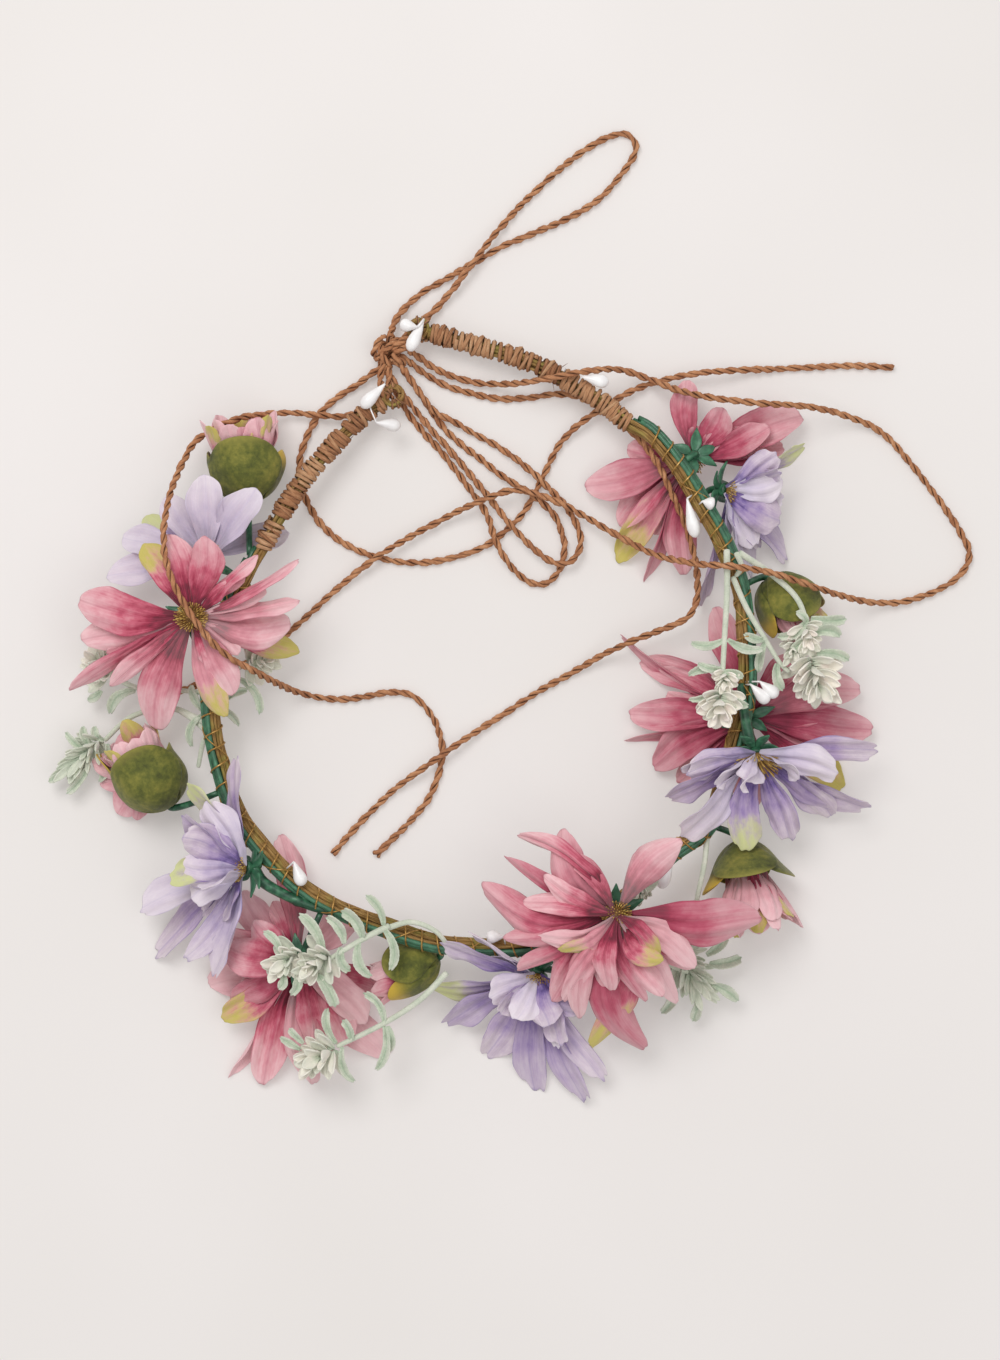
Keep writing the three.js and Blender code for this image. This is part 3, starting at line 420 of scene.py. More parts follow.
def unit(v):
    return v / max(np.linalg.norm(v), 1e-12)


def unit_rows(rows):
    return rows / np.maximum(np.linalg.norm(rows, axis=1, keepdims=True), 1e-12)


def smooth_line(points, step):
    """A centripetal Catmull-Rom curve through the points, sampled about every step."""
    points = [vec(p) for p in points]
    padded = [2 * points[0] - points[1], *points, 2 * points[-1] - points[-2]]
    line = []
    for p0, p1, p2, p3 in zip(padded, padded[1:], padded[2:], padded[3:]):
        knots = [0.0]
        for a, b in ((p0, p1), (p1, p2), (p2, p3)):
            knots.append(knots[-1] + math.sqrt(np.linalg.norm(b - a)))
        t0, t1, t2, t3 = knots
        count = max(2, round(np.linalg.norm(p2 - p1) / step))
        for t in np.linspace(t1, t2, count, endpoint=False):
            a1 = p0 + (p1 - p0) * (t - t0) / (t1 - t0)
            a2 = p1 + (p2 - p1) * (t - t1) / (t2 - t1)
            a3 = p2 + (p3 - p2) * (t - t2) / (t3 - t2)
            b1 = a1 + (a2 - a1) * (t - t0) / (t2 - t0)
            b2 = a2 + (a3 - a2) * (t - t1) / (t3 - t1)
            line.append(b1 + (b2 - b1) * (t - t1) / (t2 - t1))
    line.append(points[-1])
    return np.array(line)


def lengths(line):
    return np.concatenate([[0], np.cumsum(np.linalg.norm(np.diff(line, axis=0), axis=1))])


def at_lengths(line, at):
    """Points of a line at the given lengths along it."""
    along = lengths(line)
    return np.stack([np.interp(at, along, line[:, k]) for k in range(3)], axis=1)


def part_of(line, start, end, step):
    """The stretch of a line between two lengths along it, evenly sampled."""
    return at_lengths(line, np.linspace(start, end, max(3, round((end - start) / step))))


def bezier(base, control, tip, t):
    return (1 - t) ** 2 * base + 2 * t * (1 - t) * control + t * t * tip


def carried_frames(line):
    """Tangent, side and normal at each point, carried along the line without twisting."""
    tangents = unit_rows(np.gradient(line, axis=0))
    start = UP if abs(tangents[0] @ UP) < 0.9 else vec((1, 0, 0))
    side = unit(np.cross(start, tangents[0]))
    sides = []
    for tangent in tangents:
        side = square_to(side, tangent)
        sides.append(side)
    sides = np.array(sides)
    return tangents, sides, np.cross(tangents, sides)


def axes_of(direction):
    direction = unit(vec(direction))
    start = UP if abs(direction @ UP) < 0.9 else vec((1, 0, 0))
    side = unit(np.cross(start, direction))
    return direction, side, np.cross(direction, side)


def square_to(v, axis):
    """The unit part of v at right angles to the unit vector axis."""
    return unit(v - (v @ axis) * axis)


def spoke(turn, side, normal):
    """The direction at an angle from side towards normal."""
    return math.cos(turn) * side + math.sin(turn) * normal


def loop_round(angle, wide, tall, side, normal):
    """Points of an oval round the origin, one for each angle."""
    return (wide * np.cos(angle))[:, None] * side + (tall * np.sin(angle))[:, None] * normal


def reached(hub, turn, reach, height):
    """The point at a height that lies a given reach from the hub, seen from above."""
    return vec((hub[0] + reach * math.cos(turn), hub[1] + reach * math.sin(turn), height))


def heading(base, control, tip, t, ahead):
    """Direction of a bent line at t, from points a little before and after it."""
    return unit(bezier(base, control, tip, t + ahead) - bezier(base, control, tip, t - ahead))


# ---- Mesh building ----
def looks_of(points, along, across, seed, tint):
    """The look of every point of a grid, filled from values or arrays that spread over it."""
    looks = np.zeros((*points.shape[:2], 4))
    for channel, value in enumerate((along, across, seed, tint)):
        looks[..., channel] = value
    return looks


class Build:
    """Gathers grids of points into one mesh. look is (along, across, seed, tint) per point."""

    def __init__(self):
        self.points = []
        self.looks = []
        self.faces = []
        self.count = 0

    def grid(self, points, looks, closed=False, caps=False):
        rows, columns = points.shape[:2]
        first = self.count
        self.points.append(points.reshape(-1, 3))
        self.looks.append(looks.reshape(-1, 4))
        self.count += rows * columns
        for r in range(rows - 1):
            for c in range(columns if closed else columns - 1):
                d = (c + 1) % columns
                low, high = first + r * columns, first + (r + 1) * columns
                self.faces.append((low + c, low + d, high + d, high + c))
        if caps:
            self.faces.append(tuple(first + c for c in reversed(range(columns))))
            last = first + (rows - 1) * columns
            self.faces.append(tuple(last + c for c in range(columns)))

    def made(self, name, material, body="root"):
        mesh = bpy.data.meshes.new(name)
        mesh.from_pydata((np.concatenate(self.points) * MM).tolist(), [], self.faces)
        look = mesh.attributes.new("look", "FLOAT_COLOR", "POINT")
        look.data.foreach_set("color", np.concatenate(self.looks).astype(np.float32).ravel())
        mesh.polygons.foreach_set("use_smooth", [True] * len(mesh.polygons))
        mesh.materials.append(material)
        piece = bpy.data.objects.new(name, mesh)
        bpy.context.collection.objects.link(piece)
        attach(piece, body)
        return piece


def sweep(
    build, line, radius, sides=8, seed=0.0, tint=0.0, ridges=0.0, flat=1.0, shade=None, twist=0.0
):
    """A closed tube along a line; radius is a number or one per point, flat squashes one axis."""
    line = np.asarray(line, float)
    radius = np.broadcast_to(np.asarray(radius, float), len(line))
    _, side, normal = carried_frames(line)
    along = lengths(line)
    turn = np.arange(sides) * TURN / sides
    ridge = 1 + ridges * np.cos(turn * (sides // 2))
    angle = turn[None] + twist * along[:, None]
    x = np.cos(turn)[None] * ridge * radius[:, None]
    y = np.sin(turn)[None] * ridge * radius[:, None] * flat
    spin = angle - turn[None]
    u = x * np.cos(spin) - y * np.sin(spin)
    v = x * np.sin(spin) + y * np.cos(spin)
    points = line[:, None] + u[..., None] * side[:, None] + v[..., None] * normal[:, None]
    tint = tint if shade is None else shade(points)
    looks = looks_of(points, along[:, None], turn[None] / TURN, seed, tint)
    build.grid(points, looks, closed=True, caps=True)


def lathe(build, place, direction, profile, sides=16, seed=0.0, lumps=0.0):
    """A turned shape: profile is (radius, distance along direction)."""
    axis, side, normal = axes_of(direction)
    turn = np.arange(sides) * TURN / sides
    rows = []
    for radius, along in profile:
        r = radius * (1 + lumps * np.sin(3 * turn + seed * 9) + lumps * np.cos(5 * turn + along))
        ring = vec(place) + along * axis
        rows.append(ring + r[:, None] * loop_round(turn, 1, 1, side, normal))
    points = np.array(rows)
    share = np.arange(len(profile)) / (len(profile) - 1)
    build.grid(points, looks_of(points, share[:, None], turn / TURN, seed, 0), closed=True, caps=True)


def thicken(piece, thickness):
    """Gives a sheet its thickness in millimetres and rounds it."""
    solid = piece.modifiers.new("thickness", "SOLIDIFY")
    solid.thickness = thickness * MM
    solid.offset = 0
    soft = piece.modifiers.new("smooth", "SUBSURF")
    soft.levels = 1
    soft.render_levels = 1
    return piece


# ---- Materials ----
def rgb(text):
    """A linear colour from a web colour."""
    values = [int(text[i : i + 2], 16) / 255 for i in (0, 2, 4)]
    return [v / 12.92 if v <= 0.04045 else ((v + 0.055) / 1.055) ** 2.4 for v in values] + [1]


class Nodes:
    """Short calls for building one material's node tree."""

    def __init__(self, name, roughness, metallic=0.0, sheen=0.0, coat=0.0):
        self.material = bpy.data.materials.new(name)
        self.material["slot"] = name
        self.material.use_nodes = True
        self.tree = self.material.node_tree
        self.shader = self.tree.nodes["Principled BSDF"]
        self.shader.inputs["Roughness"].default_value = roughness
        self.shader.inputs["Metallic"].default_value = metallic
        self.shader.inputs["Sheen Weight"].default_value = sheen
        self.shader.inputs["Coat Weight"].default_value = coat
        look = self.add("ShaderNodeAttribute")
        look.attribute_name = "look"
        parts = self.add("ShaderNodeSeparateColor")
        self.link(look.outputs["Color"], parts.inputs[0])
        self.along, self.across, self.seed = parts.outputs
        self.tint = look.outputs["Alpha"]
        self.place = self.add("ShaderNodeTexCoord").outputs["Object"]

    def add(self, kind):
        return self.tree.nodes.new(kind)

    def link(self, value, socket):
        if isinstance(value, bpy.types.NodeSocket):
            self.tree.links.new(value, socket)
        else:
            socket.default_value = value

    def math(self, operation, *values, clamp=False):
        node = self.add("ShaderNodeMath")
        node.operation = operation
        node.use_clamp = clamp
        for value, socket in zip(values, node.inputs):
            self.link(value, socket)
        return node.outputs[0]

    def times(self, a, b, clamp=False):
        return self.math("MULTIPLY", a, b, clamp=clamp)

    def plus(self, a, b, clamp=False):
        return self.math("ADD", a, b, clamp=clamp)

    def minus(self, a, b):
        return self.math("SUBTRACT", a, b)

    def off_middle(self):
        """How far a point is from the middle of its piece, across it."""
        return self.math("ABSOLUTE", self.minus(self.across, 0.5))

    def tint_is(self, number):
        return self.math("COMPARE", self.tint, float(number), 0.4)

    def vector(self, x, y, z):
        node = self.add("ShaderNodeCombineXYZ")
        for value, socket in zip((x, y, z), node.inputs):
            self.link(value, socket)
        return node.outputs[0]

    def noise(self, vector, scale, detail=3.0, rough=0.5):
        node = self.add("ShaderNodeTexNoise")
        node.inputs["Scale"].default_value = scale
        node.inputs["Detail"].default_value = detail
        node.inputs["Roughness"].default_value = rough
        self.link(vector, node.inputs["Vector"])
        return node.outputs["Fac"]

    def ramp(self, value, *stops):
        node = self.add("ShaderNodeValToRGB")
        while len(node.color_ramp.elements) < len(stops):
            node.color_ramp.elements.new(0.5)
        for element, (place, colour) in zip(node.color_ramp.elements, stops):
            element.position = place
            element.color = rgb(colour)
        self.link(value, node.inputs[0])
        return node.outputs[0]

    def step(self, value, low, high):
        node = self.add("ShaderNodeMapRange")
        node.interpolation_type = "SMOOTHSTEP"
        self.link(value, node.inputs["Value"])
        node.inputs["From Min"].default_value = low
        node.inputs["From Max"].default_value = high
        return node.outputs[0]

    def mix(self, factor, a, b):
        node = self.add("ShaderNodeMix")
        node.data_type = "RGBA"
        self.link(factor, node.inputs[0])
        self.link(a, node.inputs[6])
        self.link(b, node.inputs[7])
        return node.outputs[2]

    def grain(self, along, across):
        """Coordinates that stretch a noise along a strand or petal, different on each."""
        return self.vector(self.times(self.along, along), self.times(self.across, across), self.seed)

    def tinge(self, colour, mask, share, web):
        """The colour with a share of another one laid over it where the mask is."""
        return self.mix(self.times(mask, share), colour, rgb(web))

    def bump(self, height, strength, distance):
        node = self.add("ShaderNodeBump")
        node.inputs["Strength"].default_value = strength
        node.inputs["Distance"].default_value = distance
        self.link(height, node.inputs["Height"])
        self.link(node.outputs[0], self.shader.inputs["Normal"])

    def done(self, colour):
        self.link(colour, self.shader.inputs["Base Color"])
        return self.material


def paper_cord():
    """Twisted paper: long fibres along each ply, and painted shade, dark brown, where the plies meet."""
    n = Nodes("cord", 0.82)
    grain = n.grain(0.25, 9)
    fibre = n.noise(grain, 2.2, 4, 0.6)
    blotch = n.noise(n.place, 260, 3)
    tone = n.plus(n.times(fibre, 0.62), n.times(blotch, 0.38))
    paper = n.ramp(tone, (0.3, "774428"), (0.46, "ab724d"), (0.58, "c89066"), (0.76, "e2b48c"))
    # Painted shade: the paper turns dark brown towards the middle of the cord, where the plies meet.
    painted_groove_shade = n.step(n.tint, 0.0, 0.62)
    colour = n.mix(painted_groove_shade, rgb("47240f"), paper)
    n.bump(fibre, 0.5, 0.0004)
    return n.done(colour)


def wrap_paper():
    n = Nodes("wrap", 0.88)
    grain = n.grain(0.12, 8)
    fibre = n.noise(grain, 3.0, 4, 0.65)
    tone = n.plus(fibre, n.times(n.minus(n.tint, 0.5), 0.35))
    colour = n.ramp(tone, (0.25, "75492f"), (0.46, "a9744f"), (0.6, "c39068"), (0.8, "dab38b"))
    # Painted shade at the two edges of each tape, between neighbouring turns.
    edge = n.step(n.math("ABSOLUTE", n.math("COSINE", n.times(n.across, TURN))), 0.72, 1.0)
    colour = n.tinge(colour, edge, 0.75, "5a3822")
    n.bump(fibre, 0.8, 0.0006)
    return n.done(colour)


def vine():
    n = Nodes("vine", 0.78)
    grain = n.grain(0.07, 7)
    fibre = n.noise(grain, 3.0, 5, 0.6)
    colour = n.ramp(fibre, (0.28, "4a3217"), (0.45, "87642f"), (0.6, "b48f56"), (0.78, "d0b17a"))
    patches = n.noise(n.place, 120, 2)
    colour = n.tinge(colour, n.step(patches, 0.5, 0.7), 0.7, "948c40")
    n.bump(fibre, 0.6, 0.0004)
    return n.done(colour)


def plastic_stem():
    n = Nodes("stem", 0.42, coat=0.1)
    mottle = n.noise(n.place, 420, 3)
    colour = n.ramp(mottle, (0.3, "153b2b"), (0.5, "27593f"), (0.72, "4a8361"))
    colour = n.tinge(colour, n.tint, 0.5, "5c9474")
    n.bump(mottle, 0.25, 0.0004)
    return n.done(colour)


def binding():
    n = Nodes("wire", 0.38, metallic=0.55)
    shine = n.noise(n.place, 700, 2)
    return n.done(n.ramp(shine, (0.3, "8d6a30"), (0.55, "b98f4e"), (0.8, "d4b174")))


def petal_cloth(name, stops, vein, dark, pale, tip):
    """Printed fabric: colour from the base to the tip, veins, watercolour mottling and weave, with painted
    shade at the base, along the middle crease and on shaded petals.
    """
    n = Nodes(name, 0.72, sheen=0.25)
    seeded = n.grain(3, 2)
    wash = n.noise(seeded, 1.6, 4, 0.6)
    streaks = n.grain(1.2, 22)
    streak = n.noise(streaks, 1.0, 3, 0.55)
    drift = n.times(n.minus(wash, 0.5), 0.95)
    run = n.times(n.minus(streak, 0.5), 0.36)
    level = n.plus(n.plus(n.along, drift), run, clamp=True)
    colour = n.ramp(level, *stops)
    lines = n.math("SINE", n.times(n.plus(n.across, n.times(drift, 0.06)), 75))
    veins = n.times(n.step(lines, 0.35, 1.0), n.step(n.along, 1.0, 0.35))
    colour = n.tinge(colour, veins, 0.17, vein)
    middle = n.off_middle()
    # Painted shade along the middle crease of the petal.
    crease = n.step(middle, 0.05, 0.0)
    colour = n.tinge(colour, crease, 0.3, vein)
    light = n.math("FRACT", n.times(n.seed, 7.31))
    colour = n.tinge(colour, n.step(light, 0.5, 1.0), 0.3, pale)
    colour = n.tinge(colour, n.step(light, 0.5, 0.0), 0.22, dark)
    rim = n.math("MAXIMUM", n.step(middle, 0.455, 0.5), n.step(n.along, 0.97, 1.02))
    colour = n.tinge(colour, rim, 0.4, vein)
    tipped = n.tint_is(GREEN_TIP)
    green = n.step(n.plus(n.along, drift), 0.5, 0.92)
    colour = n.mix(n.times(tipped, green), colour, rgb(tip))
    # Painted shade on petals that lie in shadow, strongest at the base.
    shaded_petal = n.tint_is(PAINTED_SHADE)
    fade = n.minus(0.5, n.times(n.along, 0.34))
    colour = n.mix(n.times(shaded_petal, fade), colour, rgb(dark))
    faded = n.tint_is(PALE)
    colour = n.tinge(colour, faded, 0.5, pale)
    weave = n.noise(n.place, 2600, 1)
    height = n.plus(n.times(lines, 0.12), n.times(weave, 0.5))
    n.bump(height, 0.35, 0.00035)
    return n.done(colour)


def olive_cloth():
    n = Nodes("olive", 0.8, sheen=0.15)
    speck = n.noise(n.place, 520, 4, 0.65)
    patch = n.noise(n.place, 110, 2)
    tone = n.plus(n.times(speck, 0.5), n.times(patch, 0.5))
    colour = n.ramp(tone, (0.3, "343810"), (0.47, "5a5f1f"), (0.6, "7a782e"), (0.78, "9c9140"))
    rim = n.step(n.along, 0.8, 1.0)
    colour = n.tinge(colour, rim, 0.6, "9a9143")
    gold = n.times(n.tint_is(GREEN_TIP), n.step(n.along, 0.55, 0.9))
    colour = n.mix(gold, colour, rgb("c9a93c"))
    n.bump(speck, 0.5, 0.0004)
    return n.done(colour)


def stamen_fibre():
    n = Nodes("stamen", 0.7)
    speck = n.noise(n.place, 900, 2)
    shade = n.plus(n.times(speck, 0.4), n.times(n.tint, 0.6))
    return n.done(n.ramp(shade, (0.15, "6b4a25"), (0.45, "a37a3c"), (0.8, "d8b660")))


def flocking():
    """Short pale fibres over green plastic: velvety, whitish at the leaf tips, with painted shade down the
    middle of each leaf.
    """
    n = Nodes("sprig", 0.95, sheen=0.6)
    fuzz = n.noise(n.place, 1500, 3, 0.7)
    patch = n.noise(n.place, 230, 3)
    middle = n.step(n.off_middle(), 0.16, 0.0)
    body = n.ramp(n.plus(n.times(fuzz, 0.5), n.times(patch, 0.5)),
                  (0.3, "96aa8f"), (0.5, "b9c7af"), (0.72, "dbe1d1"))
    reach = n.plus(n.along, n.times(patch, 0.3))
    # Painted shade: the middle of each leaf, down its fold, is darker green.
    body = n.mix(n.times(middle, 0.4), body, rgb("7d967c"))
    white = n.times(n.tint, n.step(reach, 0.0, 0.75), clamp=True)
    colour = n.mix(white, body, rgb("faf4e8"))
    blush = n.times(n.times(n.tint, n.step(patch, 0.48, 0.66)), 0.35)
    colour = n.mix(blush, colour, rgb("f0dcd6"))
    n.bump(fuzz, 0.55, 0.0004)
    return n.done(colour)


def wax():
    n = Nodes("berry", 0.32, coat=0.25)
    tone = n.noise(n.place, 300, 2)
    n.bump(n.noise(n.place, 900, 2), 0.12, 0.0003)
    return n.done(n.ramp(tone, (0.3, "eeebeb"), (0.6, "f8f6f5"), (0.85, "ffffff")))


# The deepest colours at the base of the petals are partly the print's own and partly painted shade where the
# petals overlap.
PINK_STOPS = ((0.13, "5c0b22"), (0.29, "a02645"), (0.47, "c96176"), (0.7, "e09ba5"), (0.98, "f1c4c8"))
LILAC_STOPS = ((0.12, "4c3876"), (0.27, "7c66a0"), (0.45, "ab95ba"), (0.72, "c9b6ca"), (0.98, "dfd1d9"))
CORD = paper_cord()
WRAP = wrap_paper()
VINE = vine()
STEM = plastic_stem()
WIRE = binding()
PETAL = {
    "pink": petal_cloth("pink", PINK_STOPS, "a83a58", "a03a55", "f2cdd0", "c6b860"),
    "purple": petal_cloth("purple", LILAC_STOPS, "7d6aa8", "7562a0", "eee6ee", "cdd096"),
}
OLIVE = olive_cloth()
STAMEN = stamen_fibre()
SPRIG = flocking()
BERRY = wax()


# ---- Free cords ----
PLY_R = 0.74
PLY_OFFSET = 0.54  # from the middle of the cord to the middle of a ply
CORD_LAY = 9.0  # length of one full twist


def plied(build, line, seed, step=0.6):
    """Two plies of twisted paper round each other along a line, in millimetres."""
    line = part_of(line, 0, lengths(line)[-1], step)
    _, side, normal = carried_frames(line)
    along = lengths(line)
    rng = np.random.default_rng(int(seed * 1000) + 5)

    def uneven(amount, spacing):
        count = max(4, int(along[-1] / spacing))
        return np.interp(along, np.linspace(0, along[-1], count), rng.normal(0, amount, count))

    twist = uneven(0.35, 9)
    for ply in range(2):
        turn = TURN * (along / CORD_LAY + ply / 2) + twist
        offset = PLY_OFFSET * (1 + uneven(0.12, 6))
        offset[-3:] += (0.1, 0.3, 0.55)
        core = line + offset[:, None] * loop_round(turn, 1, 1, side, normal)
        core[:, 2] = np.maximum(core[:, 2], PLY_R)

        # How far each point lies from the cord's middle; the cord material paints shade where this is small.
        def shade(points):
            away = np.linalg.norm(points - line[:, None], axis=2)
            return np.clip((away - 0.45) / (PLY_OFFSET + PLY_R - 0.5), 0, 1)

        radius = PLY_R * (1 + uneven(0.09, 3))
        ply_seed = seed + ply * 0.37
        lay = TURN / CORD_LAY
        sweep(build, core, radius, 10, ply_seed, ridges=0.07, flat=0.9, shade=shade, twist=lay)


def length_of(line):
    return float(lengths(np.asarray(line))[-1])


for number, (name, route) in enumerate(CORD_ROUTES.items()):
    line = smooth_line([vec(p) / MM for p in route], 1.0)
    build = Build()
    plied(build, line, 0.13 + 0.11 * number)
    piece = build.made(name + "_cord", CORD)
    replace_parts(piece, name)


# ---- Knot: turns of the same cord round the bundle of strands, and the ties to the eyelets ----
def ends_at_knot():
    """Where each cord leaves the knot, with the next point of its route."""
    for name, route in CORD_ROUTES.items():
        points = vec(route) / MM
        if name != "tail_l2":
            yield points[0], points[1]
        if "loop" in name:
            yield points[-1], points[-2]


def knot():
    build = Build()
    middle = vec(KNOT)
    # (axis, half width, half height, shift from the middle, starting angle)
    turns = [
        ((0.6, -0.8, 0.1), 4.6, 3.4, (0.3, 0.4, 0.4), 0.0),
        ((0.75, -0.6, 0.3), 4.3, 3.6, (-1.7, 1.9, 0.2), 0.8),
        ((-0.35, -0.9, 0.25), 4.4, 3.3, (1.4, -1.9, 0.3), 2.0),
        ((0.9, 0.2, 0.4), 4.0, 3.4, (-0.6, -0.8, 0.5), 4.1),
    ]
    for number, (axis, wide, tall, shift, start) in enumerate(turns):
        _, side, normal = axes_of(axis)
        angle = np.linspace(start, start + TURN * 0.93, 40)
        drift = np.linspace(-0.9, 0.9, 40)[:, None] * unit(vec(axis))
        ring = middle + vec(shift) + drift
        ring = ring + (wide * np.cos(angle))[:, None] * side + (tall * np.sin(angle))[:, None] * normal
        ring[:, 2] = np.clip(ring[:, 2], 1.3, 8.8)
        plied(build, ring, 0.9 + 0.07 * number)
    ties = [
        [(1.5, 1, 2.5), (5, 3.4, 4), (8.6, 5.2, 4.6), (11.4, 7.6, 4)],
        [(2.5, -1, 2), (6, 1.4, 3), (9.4, 4, 3.4), (12, 6.2, 4.2)],
        [(0.5, -3, 1), (0.6, -8, 1.6), (0.4, -12.6, 2.8), (1, -16, 3.6)],
        [(-1, -3, 2), (-2.2, -8, 2.6), (-2, -12, 4), (-0.6, -15.4, 4.6)],
    ]
    for number, tie in enumerate(ties):
        plied(build, smooth_line([middle + place for place in tie], 1.0), 1.3 + 0.09 * number)
    for number, (near, far) in enumerate(ends_at_knot()):
        inward = unit(near - far)
        lead = [near - inward * 1.2, near + inward * 2.2, middle + (near - middle) * 0.35 + UP * 0.6]
        plied(build, smooth_line(lead, 1.0), 1.71 + 0.05 * number)
    return build.made("bow_knot_cord", CORD)


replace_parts(knot(), "bow_knot")


# ---- Band: strands, wraps and binding ----
band = smooth_line(BAND_ROUTE, 1.0)
band_length = length_of(band)
EYELET_REACH = 3.0  # from the end of the band to the middle of its eyelet
EYELET_R = 2.9
bound_from = RIGHT_WRAP + 1
bound_to = band_length - LEFT_WRAP - 1


def eyelet(at_start):
    """Middle of the eyelet at one end of the band, and the direction the band ends in."""
    tip, back = (band[0], band[4]) if at_start else (band[-1], band[-5])
    towards = unit(tip - back)
    return tip + towards * EYELET_REACH, towards


def beside_band(start, end, step):
    """A stretch of the band, and the level direction across it at each point."""
    line = part_of(band, start, end, step)
    tangents = unit_rows(np.gradient(line, axis=0))
    return line, unit_rows(np.cross(UP, tangents))


def strand_line(start, end, outward, upward, wander, seed, step=2.5):
    """A line beside the band, shifted across and up, wandering a little."""
    line, across = beside_band(start, end, step)
    rng = np.random.default_rng(seed)
    count = max(4, int((end - start) / 14))
    at = np.linspace(0, 1, len(line))
    spots = np.linspace(0, 1, count)
    sideways = np.interp(at, spots, rng.normal(0, wander, count))
    lift = np.interp(at, spots, rng.normal(0, wander, count))
    soft = np.ones(5) / 5
    sideways = np.convolve(np.pad(sideways, 2, "edge"), soft, "valid")
    lift = np.convolve(np.pad(lift, 2, "edge"), soft, "valid")
    return line + across * (outward + sideways)[:, None] + UP * (upward + lift)[:, None]


def helix_round(start, end, outward, upward, radius, pitch, seed, jitter, step=0.5):
    """A wire's turns round the bundle, with an uneven pitch."""
    turns = (end - start) / pitch
    line, across = beside_band(start, end, step)
    rng = np.random.default_rng(seed)
    at = np.linspace(0, 1, len(line))
    spots = np.linspace(0, 1, max(4, int(turns)))
    angle = TURN * turns * at + np.interp(at, spots, rng.normal(0, jitter, len(spots)))
    size = radius * (1 + np.interp(at, spots, rng.normal(0, 0.05, len(spots))))
    middle = line + across * outward + UP * upward
    return middle + (size * np.cos(angle))[:, None] * across + (size * np.sin(angle))[:, None] * UP


def band_strands():
    """Thin vines of the bare band, and the loops of vine that make its eyelets."""
    build = Build()
    # (outward, upward, radius)
    layout = [
        (-1.5, -0.3, 0.85), (-0.35, 1.0, 0.9), (0.2, -1.1, 0.85),
        (-1.3, 1.15, 0.6), (0.8, 2.0, 0.7), (0.9, 0.2, 0.9),
    ]
    for number, (outward, upward, radius) in enumerate(layout):
        line = strand_line(0.5, band_length - 0.5, outward, upward, 0.28, 11 + number)
        sweep(build, line, radius, 8, 0.17 * number, ridges=0.1, flat=0.8, twist=0.12)
    for at_start in (True, False):
        middle, _ = eyelet(at_start)
        for loop in range(4):
            _, side, normal = axes_of((0.22 * math.sin(loop * 2.1), 0.2 * math.cos(loop * 1.7), 1))
            angle = np.linspace(0, TURN * 0.97, 40) + loop
            size = EYELET_R + 0.5 * math.sin(loop * 2.3) + 0.3 * np.sin(2 * angle + loop)
            ring = middle + (size * np.cos(angle))[:, None] * side + (size * np.sin(angle))[:, None] * normal
            ring[:, 2] += 0.75 * (loop - 1.5)
            sweep(build, ring, 0.58, 7, 0.6 + loop * 0.1, ridges=0.12, twist=0.5)
    return build.made("vine_strands", VINE)


def bound_stems():
    build = Build()
    layout = [(1.75, 1.0, 0.9), (2.9, 1.5, 0.85), (2.0, 2.75, 0.8), (3.35, 0.1, 0.8)]
    for number, (outward, upward, radius) in enumerate(layout):
        start, end = bound_from + 1.3 * number, bound_to - 5 * number
        line = strand_line(start, end, outward, upward, 0.25, 31 + number)
        sweep(build, line, radius, 8, 0.23 * number, tint=0.3 * number)
    return build.made("bound_stems", STEM)


def binding_turns():
    build = Build()
    main = helix_round(bound_from + 7, bound_to - 9, 0.9, 0.85, 3.3, 6.2, 5, 0.8)
    sweep(build, main, 0.3, 6, 0.1)
    second = helix_round(bound_from + 20, bound_to - 15, 0.9, 0.85, 3.3, -23, 8, 0.9)
    sweep(build, second, 0.23, 6, 0.5)
    return build.made("binding_turns", WIRE)


def tape(build, line, across, outward, half_width, thickness, seed, tint):
    """A crumpled paper tape laid along a line, its flat side facing outward."""
    turn = np.arange(10) * TURN / 10
    along = lengths(line)
    crease = 0.14 * np.sin(along[:, None] * 1.7 + 3 * turn[None] + seed * 7)
    wide = half_width[:, None] * np.cos(turn)[None] * (1 + 0.06 * np.sin(along[:, None] * 2.3 + seed))
    thick = thickness / 2 * np.sin(turn)[None] + crease * np.abs(np.sin(turn))[None]
    thick = thick + 0.09 * np.cos(4 * turn)[None]
    points = line[:, None] + wide[..., None] * across[:, None] + thick[..., None] * outward[:, None]
    looks = looks_of(points, along[:, None], turn[None] / TURN, seed, tint)
    build.grid(points, looks, closed=True, caps=True)


def winding(build, start, end, radius, pitch, half_width, seed):
    """Turns of tape round the band from start to end."""
    rng = np.random.default_rng(seed)
    turns = abs((end - start) / pitch)
    count = max(12, int(turns * 24))
    along = np.linspace(start, end, count)
    spots = np.linspace(start, end, max(4, int(turns * 2)))
    along = along + np.interp(along, spots, rng.normal(0, 0.34, len(spots)))
    middle = at_lengths(band, along)
    tangent = unit_rows(at_lengths(band, along + 1) - middle)
    sideways = np.cross(UP, tangent)
    angle = TURN * turns * np.linspace(0, 1, count) * math.copysign(1, pitch) + rng.uniform(0, TURN)
    outward = np.cos(angle)[:, None] * sideways + np.sin(angle)[:, None] * UP
    share = np.linspace(0, 1, count)
    knots = np.linspace(0, 1, len(spots))
    size = radius * (1 + np.interp(share, knots, rng.normal(0, 0.07, len(spots))))
    line = middle + size[:, None] * outward
    width = half_width * (1 + 0.2 * np.sin(np.linspace(0, 5 * turns, count) + seed))
    tape(build, line, tangent, outward, width, 1.05, rng.random(), rng.random())


RAGGED_FIBRES = 9


